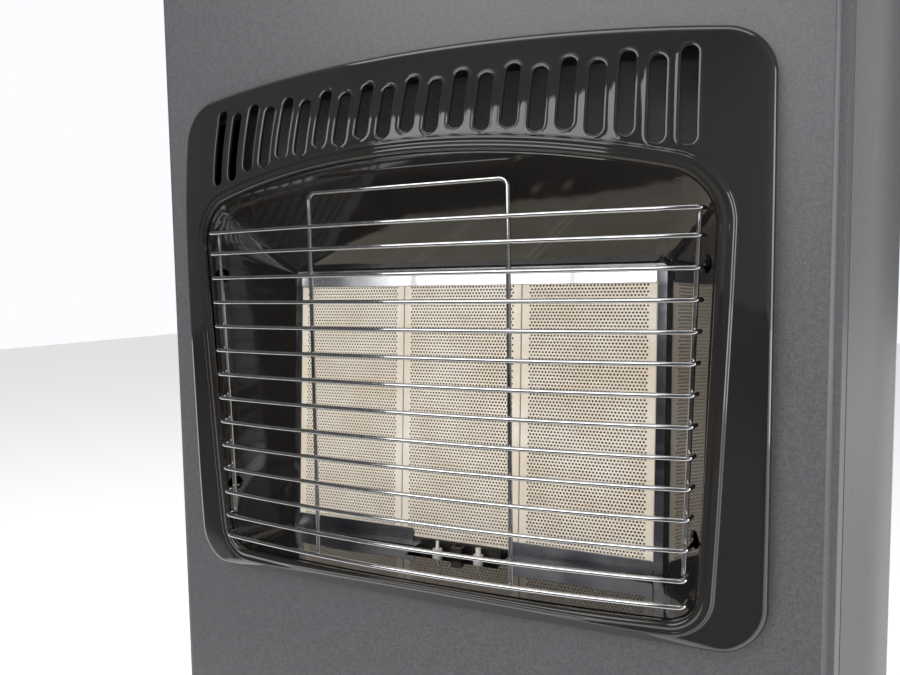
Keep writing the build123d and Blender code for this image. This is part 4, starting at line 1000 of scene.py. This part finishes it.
# ---------------------------------------------------------------- gas parts
# Cast alloy mixing tubes and valve, drawn aluminium pipes, turned brass jets, blocks and inlet nozzle,
# and two glazed insulators on the pilot bracket.
casting = mottled(
    "sand-blasted casting", (0.42, 0.42, 0.41), (0.58, 0.58, 0.57), 0.45, 0.6,
    metal=1.0, cloud=60.0, bump=0.3,
)
for node in ("mixing_tube_left", "mixing_tube_middle", "mixing_tube_right", "gas_valve"):
    dress(node, casting)
pipe_metal = mottled(
    "drawn aluminium pipe", (0.58, 0.58, 0.57), (0.70, 0.70, 0.69), 0.28, 0.4,
    metal=1.0, cloud=80.0, grain=700.0,
)
for node in ("feed_pipe_left", "feed_pipe_middle", "feed_pipe_right", "pilot_pipe"):
    dress(node, pipe_metal)
brass = mottled("turned brass", (0.52, 0.36, 0.14), (0.72, 0.54, 0.24), 0.22, 0.36, metal=1.0, cloud=120.0)
for node in ("injectors", "jet_blocks", "inlet_nozzle"):
    dress(node, brass)
glaze = mottled("glazed insulator", (0.70, 0.67, 0.60), (0.86, 0.84, 0.80), 0.12, 0.25, cloud=300.0)
for node in ("ignition_electrode", "flame_sensor"):
    dress(node, glaze)


# ---------------------------------------------------------------- controls
# A satin black fascia in the top cover's pocket, the valve's plated spindle with its knob, and the
# push button of the piezo igniter. White print on the fascia and the knob's skirt marks the settings.
fascia_paint = mottled(
    "satin black paint", (0.030, 0.030, 0.032), (0.045, 0.045, 0.048), 0.35, 0.45, cloud=60.0, grain=1200.0,
)
dress("control_fascia", fascia_paint, edge=0.0002)
knob_plastic = mottled(
    "black knob moulding", (0.018, 0.018, 0.019), (0.030, 0.030, 0.031), 0.28, 0.4, cloud=90.0, grain=1800.0,
)
for node in ("control_knob", "igniter_button", "igniter_body"):
    dress(node, knob_plastic, edge=0.0003)
dress("valve_spindle", plated_sheet)
white_ink = mottled(
    "white printing ink", (0.70, 0.70, 0.69), (0.84, 0.84, 0.83), 0.5, 0.65, cloud=300.0, grain=2500.0,
)
KNOB_AXIS = Vector((0.150, -0.127))
FASCIA_TOP, SKIRT_TOP = 0.7395, 0.749
PRINT_THICK, PRINT_SUNK = 0.00008, 0.0001
DIAL_RADIUS, DIGIT_SIZE = 0.0262, 0.0052


def show_print(shell, name, body):
    """A printed mark from closed shells."""
    bmesh.ops.recalc_face_normals(shell, faces=shell.faces)
    mesh = as_mesh(shell, name)
    mesh.materials.append(white_ink)
    piece = set_out(name, mesh)
    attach(piece, body)


def slab(shell, outline, low, high):
    """A flat closed plate over an outline."""
    foot = [shell.verts.new((*point, low)) for point in outline]
    top = [shell.verts.new((*point, high)) for point in outline]
    shell.faces.new(foot[::-1])
    shell.faces.new(top)
    band(shell, foot, top)


def round_knob(angle, radius):
    """A place round the knob: angles run anticlockwise from the rear."""
    return KNOB_AXIS + radius * Vector((-math.sin(angle), math.cos(angle)))


def digit_mesh(text, angle):
    """A printed figure on the dial, in relief by the ink's thickness."""
    curve = bpy.data.curves.new(text, "FONT")
    curve.body = text
    curve.size = DIGIT_SIZE
    curve.align_x = "CENTER"
    curve.align_y = "CENTER"
    curve.extrude = PRINT_THICK / 2
    curve.resolution_u = 3
    holder = bpy.data.objects.new(text, curve)
    figure = bpy.data.meshes.new_from_object(holder)
    figure.transform(Matrix.Translation((*round_knob(angle, DIAL_RADIUS), FASCIA_TOP + PRINT_THICK / 2)))
    bpy.data.objects.remove(holder)
    return figure


OFF_TURN, PILOT_TURN = 0.0, math.radians(60)
OFF_RADIUS, PILOT_RADIUS = 0.0016, 0.0011
RAY_COUNT, RAY_HALF, RAY_INNER, RAY_OUTER = 6, 0.00022, 0.0015, 0.0025
WEDGE_START, WEDGE_SWEEP, WEDGE_STEPS = 128, 104, 28
WEDGE_INNER, WEDGE_OUTER, WEDGE_GROWTH = 0.0227, 0.0228, 0.0010
POINTER_HALF, POINTER_INNER, POINTER_OUTER = 0.0009, 0.0186, 0.0206

dial = bmesh.new()
for text, turn in (("1", 120), ("2", 180), ("3", 240)):
    dial.from_mesh(digit_mesh(text, math.radians(turn)))
for turn, size in ((OFF_TURN, OFF_RADIUS), (PILOT_TURN, PILOT_RADIUS)):
    centre = round_knob(turn, DIAL_RADIUS)
    ring = [math.tau * step / 20 for step in range(20)]
    disc = [centre + size * Vector((math.cos(t), math.sin(t))) for t in ring]
    slab(dial, disc, FASCIA_TOP, FASCIA_TOP + PRINT_THICK)
for step in range(RAY_COUNT):
    centre = round_knob(PILOT_TURN, DIAL_RADIUS)
    ray = Vector((math.cos(math.tau * step / RAY_COUNT), math.sin(math.tau * step / RAY_COUNT)))
    across = Vector((-ray.y, ray.x)) * RAY_HALF
    ends = [centre + RAY_INNER * ray + across, centre + RAY_INNER * ray - across]
    ends += [centre + RAY_OUTER * ray - across, centre + RAY_OUTER * ray + across]
    slab(dial, ends, FASCIA_TOP, FASCIA_TOP + PRINT_THICK)
inner, outer = [], []
for step in range(WEDGE_STEPS + 1):
    angle = math.radians(WEDGE_START + WEDGE_SWEEP * step / WEDGE_STEPS)
    inner.append(round_knob(angle, WEDGE_INNER))
    outer.append(round_knob(angle, WEDGE_OUTER + WEDGE_GROWTH * step / WEDGE_STEPS))
slab(dial, [*inner, *outer[::-1]], FASCIA_TOP, FASCIA_TOP + PRINT_THICK)
show_print(dial, "dial_print", nodes["control_fascia"]["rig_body"])
pointer = bmesh.new()
bar = [
    KNOB_AXIS + Vector(corner) for corner in (
        (-POINTER_HALF, POINTER_INNER), (POINTER_HALF, POINTER_INNER),
        (POINTER_HALF, POINTER_OUTER), (-POINTER_HALF, POINTER_OUTER),
    )
]
slab(pointer, bar, SKIRT_TOP - PRINT_SUNK, SKIRT_TOP + PRINT_THICK)
show_print(pointer, "knob_pointer", nodes["control_knob"]["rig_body"])


# ---------------------------------------------------------------- rear screws
# Six plated pan-head screws hold the rear rails, three to a side and clear of the lift-off cover. The
# heads are cold-formed with a cross recess.
HEAD_SIDES = 24
HEAD_RINGS = ((0.0031, 0.0), (0.0031, 0.0008), (0.0027, 0.0014), (0.0016, 0.0018))
CROSS_ARM, CROSS_HALF, CROSS_FLOOR, CROSS_TOP = 0.0015, 0.0003, 0.0008, 0.0030
SCREW_X, SCREW_Y, SCREW_HEIGHTS = 0.2318, 0.216, (0.100, 0.390, 0.682)


def pan_head():
    """Domed head with a cross recess, its seat at z = 0."""
    shell = bmesh.new()
    rings = []
    for radius, height in HEAD_RINGS:
        turns = [math.tau * step / HEAD_SIDES for step in range(HEAD_SIDES)]
        rings.append([shell.verts.new((radius * math.cos(t), radius * math.sin(t), height)) for t in turns])
    for low_ring, high_ring in zip(rings, rings[1:]):
        band(shell, low_ring, high_ring)
    shell.faces.new(rings[0][::-1])
    shell.faces.new(rings[-1])
    corners = ((CROSS_ARM, -CROSS_HALF), (CROSS_ARM, CROSS_HALF), (CROSS_HALF, CROSS_HALF))
    quarter = [Vector(corner) for corner in corners]
    outline = [Matrix.Rotation(turn * math.pi / 2, 2) @ spot for turn in range(4) for spot in quarter]
    cross = bmesh.new()
    slab(cross, outline, CROSS_FLOOR, CROSS_TOP)
    bmesh.ops.recalc_face_normals(cross, faces=cross.faces)
    head = set_out("pan head", as_mesh(shell, "pan head"))
    cutter = set_out("cross", as_mesh(cross, "cross"))
    cut = head.modifiers.new("recess", "BOOLEAN")
    cut.object = cutter
    finished = settled(head)
    bpy.data.objects.remove(cutter)
    return bpy.data.objects.new("screw head", finished)


seats = bmesh.new()
for side in (-1, 1):
    for height in SCREW_HEIGHTS:
        seats.verts.new((side * SCREW_X, SCREW_Y, height))
made_by(
    field_group, bpy.data.meshes.new("no body"), "rear_rail_screws", nodes["rear_rails"]["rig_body"],
    Field=bpy.data.objects.new("screw seats", as_mesh(seats, "screw seats")), Cell=pan_head(),
    Turn=(-math.pi / 2, 0, 0), Material=plated_sheet,
)


# ---------------------------------------------------------------- castors
# Four twin-legged swivel castors. Their plates and forks are plated steel pressings, and the wheels
# are moulded in black nylon and turn on headed axles.
nylon = mottled(
    "black nylon", (0.020, 0.020, 0.021), (0.038, 0.038, 0.040), 0.4, 0.55,
    cloud=120.0, grain=1500.0, bump=0.2,
)
dress("castor_plates", plated_sheet, edge=0.0002)
for corner in ("front_left", "front_right", "rear_left", "rear_right"):
    dress(f"castor_fork_{corner}", plated_sheet, edge=0.0002)
    dress(f"castor_axle_{corner}", plated_sheet)
    dress(f"castor_wheel_{corner}", nylon)


# ---------------------------------------------------------------- studio
# A flat pale floor, a bright room, soft lamps and the camera. Floor and room are set apart for what the
# camera sees and for what glossy sheet mirrors, so that the enamel stays dark with bright streaks.
paper, paper_shader = new_material("pale paper", (0.86, 0.86, 0.86), 0.9)
paper_shader.inputs["Emission Color"].default_value = (1, 1, 1, 1)
tree = paper.node_tree
place = placed(tree, "ShaderNodeTexCoord")
grain = placed(tree, "ShaderNodeTexNoise", Scale=400.0)
tone = placed(tree, "ShaderNodeMapRange", To_Min=0.80, To_Max=0.92)
rays = placed(tree, "ShaderNodeLightPath")
axes = placed(tree, "ShaderNodeSeparateXYZ")
in_front = placed(tree, "ShaderNodeMapRange", From_Min=-0.50, From_Max=-0.38, To_Min=0.0, To_Max=1.3)
mirrored = placed(tree, "ShaderNodeMix", A=0.0)
shown = placed(tree, "ShaderNodeMix", B=0.6)
shaded = placed(tree, "ShaderNodeMix", B=0.10)
wired(
    tree,
    (place, "Object", grain, "Vector"),
    (grain, "Fac", tone, "Value"),
    (place, "Object", axes, "Vector"),
    (axes, "Y", in_front, "Value"),
    (rays, "Is Glossy Ray", mirrored, "Factor"),
    (in_front, "Result", mirrored, "B"),
    (rays, "Is Camera Ray", shown, "Factor"),
    (mirrored, "Result", shown, "A"),
    (shown, "Result", paper_shader, "Emission Strength"),
    (rays, "Is Glossy Ray", shaded, "Factor"),
    (tone, "Result", shaded, "A"),
    (shaded, "Result", paper_shader, "Base Color"),
)
FLOOR_HALF = 6
sheet = bpy.data.meshes.new("floor")
corners = [(x * FLOOR_HALF, y * FLOOR_HALF, 0) for x, y in ((-1, -1), (1, -1), (1, 1), (-1, 1))]
sheet.from_pydata(corners, [], [(0, 1, 2, 3)])
sheet.materials.append(paper)
set_out("floor", sheet)

world = bpy.data.worlds.new("studio")
bpy.context.scene.world = world
world.use_nodes = True
sky = world.node_tree
room = sky.nodes["Background"]
room.inputs["Color"].default_value = (0.97, 0.98, 1.0, 1)
rays = placed(sky, "ShaderNodeLightPath")
facing = placed(sky, "ShaderNodeTexCoord")
axes = placed(sky, "ShaderNodeSeparateXYZ")
overhead = placed(sky, "ShaderNodeMapRange", From_Min=0.80, From_Max=0.97, To_Min=0.13, To_Max=0.70)
aside = placed(sky, "ShaderNodeMapRange", From_Min=0.25, From_Max=1.0, To_Min=0.13, To_Max=0.42)
mirrored = placed(sky, "ShaderNodeMath", operation="MAXIMUM")
by_ray = placed(sky, "ShaderNodeMix", A=0.17)
to_camera = placed(sky, "ShaderNodeMix", B=1.0)
wired(
    sky,
    (facing, "Generated", axes, "Vector"),
    (axes, "Z", overhead, "Value"),
    (axes, "X", aside, "Value"),
    (overhead, "Result", mirrored, 0),
    (aside, "Result", mirrored, 1),
    (rays, "Is Glossy Ray", by_ray, "Factor"),
    (mirrored, "Value", by_ray, "B"),
    (rays, "Is Camera Ray", to_camera, "Factor"),
    (by_ray, "Result", to_camera, "A"),
    (to_camera, "Result", room, "Strength"),
)


def soft_box(name, place, target, size, power, mirrored):
    """A rectangular soft lamp; only a mirrored one shows in glossy surfaces."""
    lamp = bpy.data.lights.new(name, "AREA")
    lamp.shape = "RECTANGLE"
    lamp.size, lamp.size_y = size
    lamp.energy = power
    holder = set_out(name, lamp)
    holder.location = place
    holder.rotation_euler = (Vector(target) - Vector(place)).to_track_quat("-Z", "Y").to_euler()
    holder.visible_glossy = mirrored


HEARTH = (0, -0.1, 0.45)
soft_box("key", (-0.35, -1.95, 1.42), HEARTH, (1.6, 1.5), 24.0, True)
soft_box("fill", (1.3, -1.7, 0.9), HEARTH, (1.2, 1.4), 6.0, False)
soft_box("low", (0.1, -1.6, 0.25), HEARTH, (1.4, 0.4), 6.0, False)
soft_box("top", (0.0, 0.1, 2.4), (0, 0, 0.4), (2.4, 1.6), 18.0, True)
soft_box("right strip", (1.9, 0.42, 0.62), HEARTH, (0.6, 1.6), 8.0, True)

EYE = Vector((0.1746, -0.5532, 0.5087))
YAW, PITCH, ROLL = (math.radians(a) for a in (24.05, 4.19, -0.83))
FOCAL_PIXELS, PICTURE_WIDTH, FILM_WIDTH = 717.7, 900, 36.0
forward = Vector((-math.sin(YAW) * math.cos(PITCH), math.cos(YAW) * math.cos(PITCH), -math.sin(PITCH)))
level = Vector((math.cos(YAW), math.sin(YAW), 0))
over = level.cross(forward)
right = math.cos(ROLL) * level + math.sin(ROLL) * over
up = -math.sin(ROLL) * level + math.cos(ROLL) * over
lens = bpy.data.cameras.new("camera")
lens.sensor_width = FILM_WIDTH
lens.lens = FOCAL_PIXELS / PICTURE_WIDTH * FILM_WIDTH
lens.clip_start = 0.01
camera = set_out("camera", lens)
camera.matrix_world = Matrix.Translation(EYE) @ Matrix((right, up, -forward)).transposed().to_4x4()
bpy.context.scene.camera = camera
bpy.context.scene.view_settings.view_transform = "Standard"
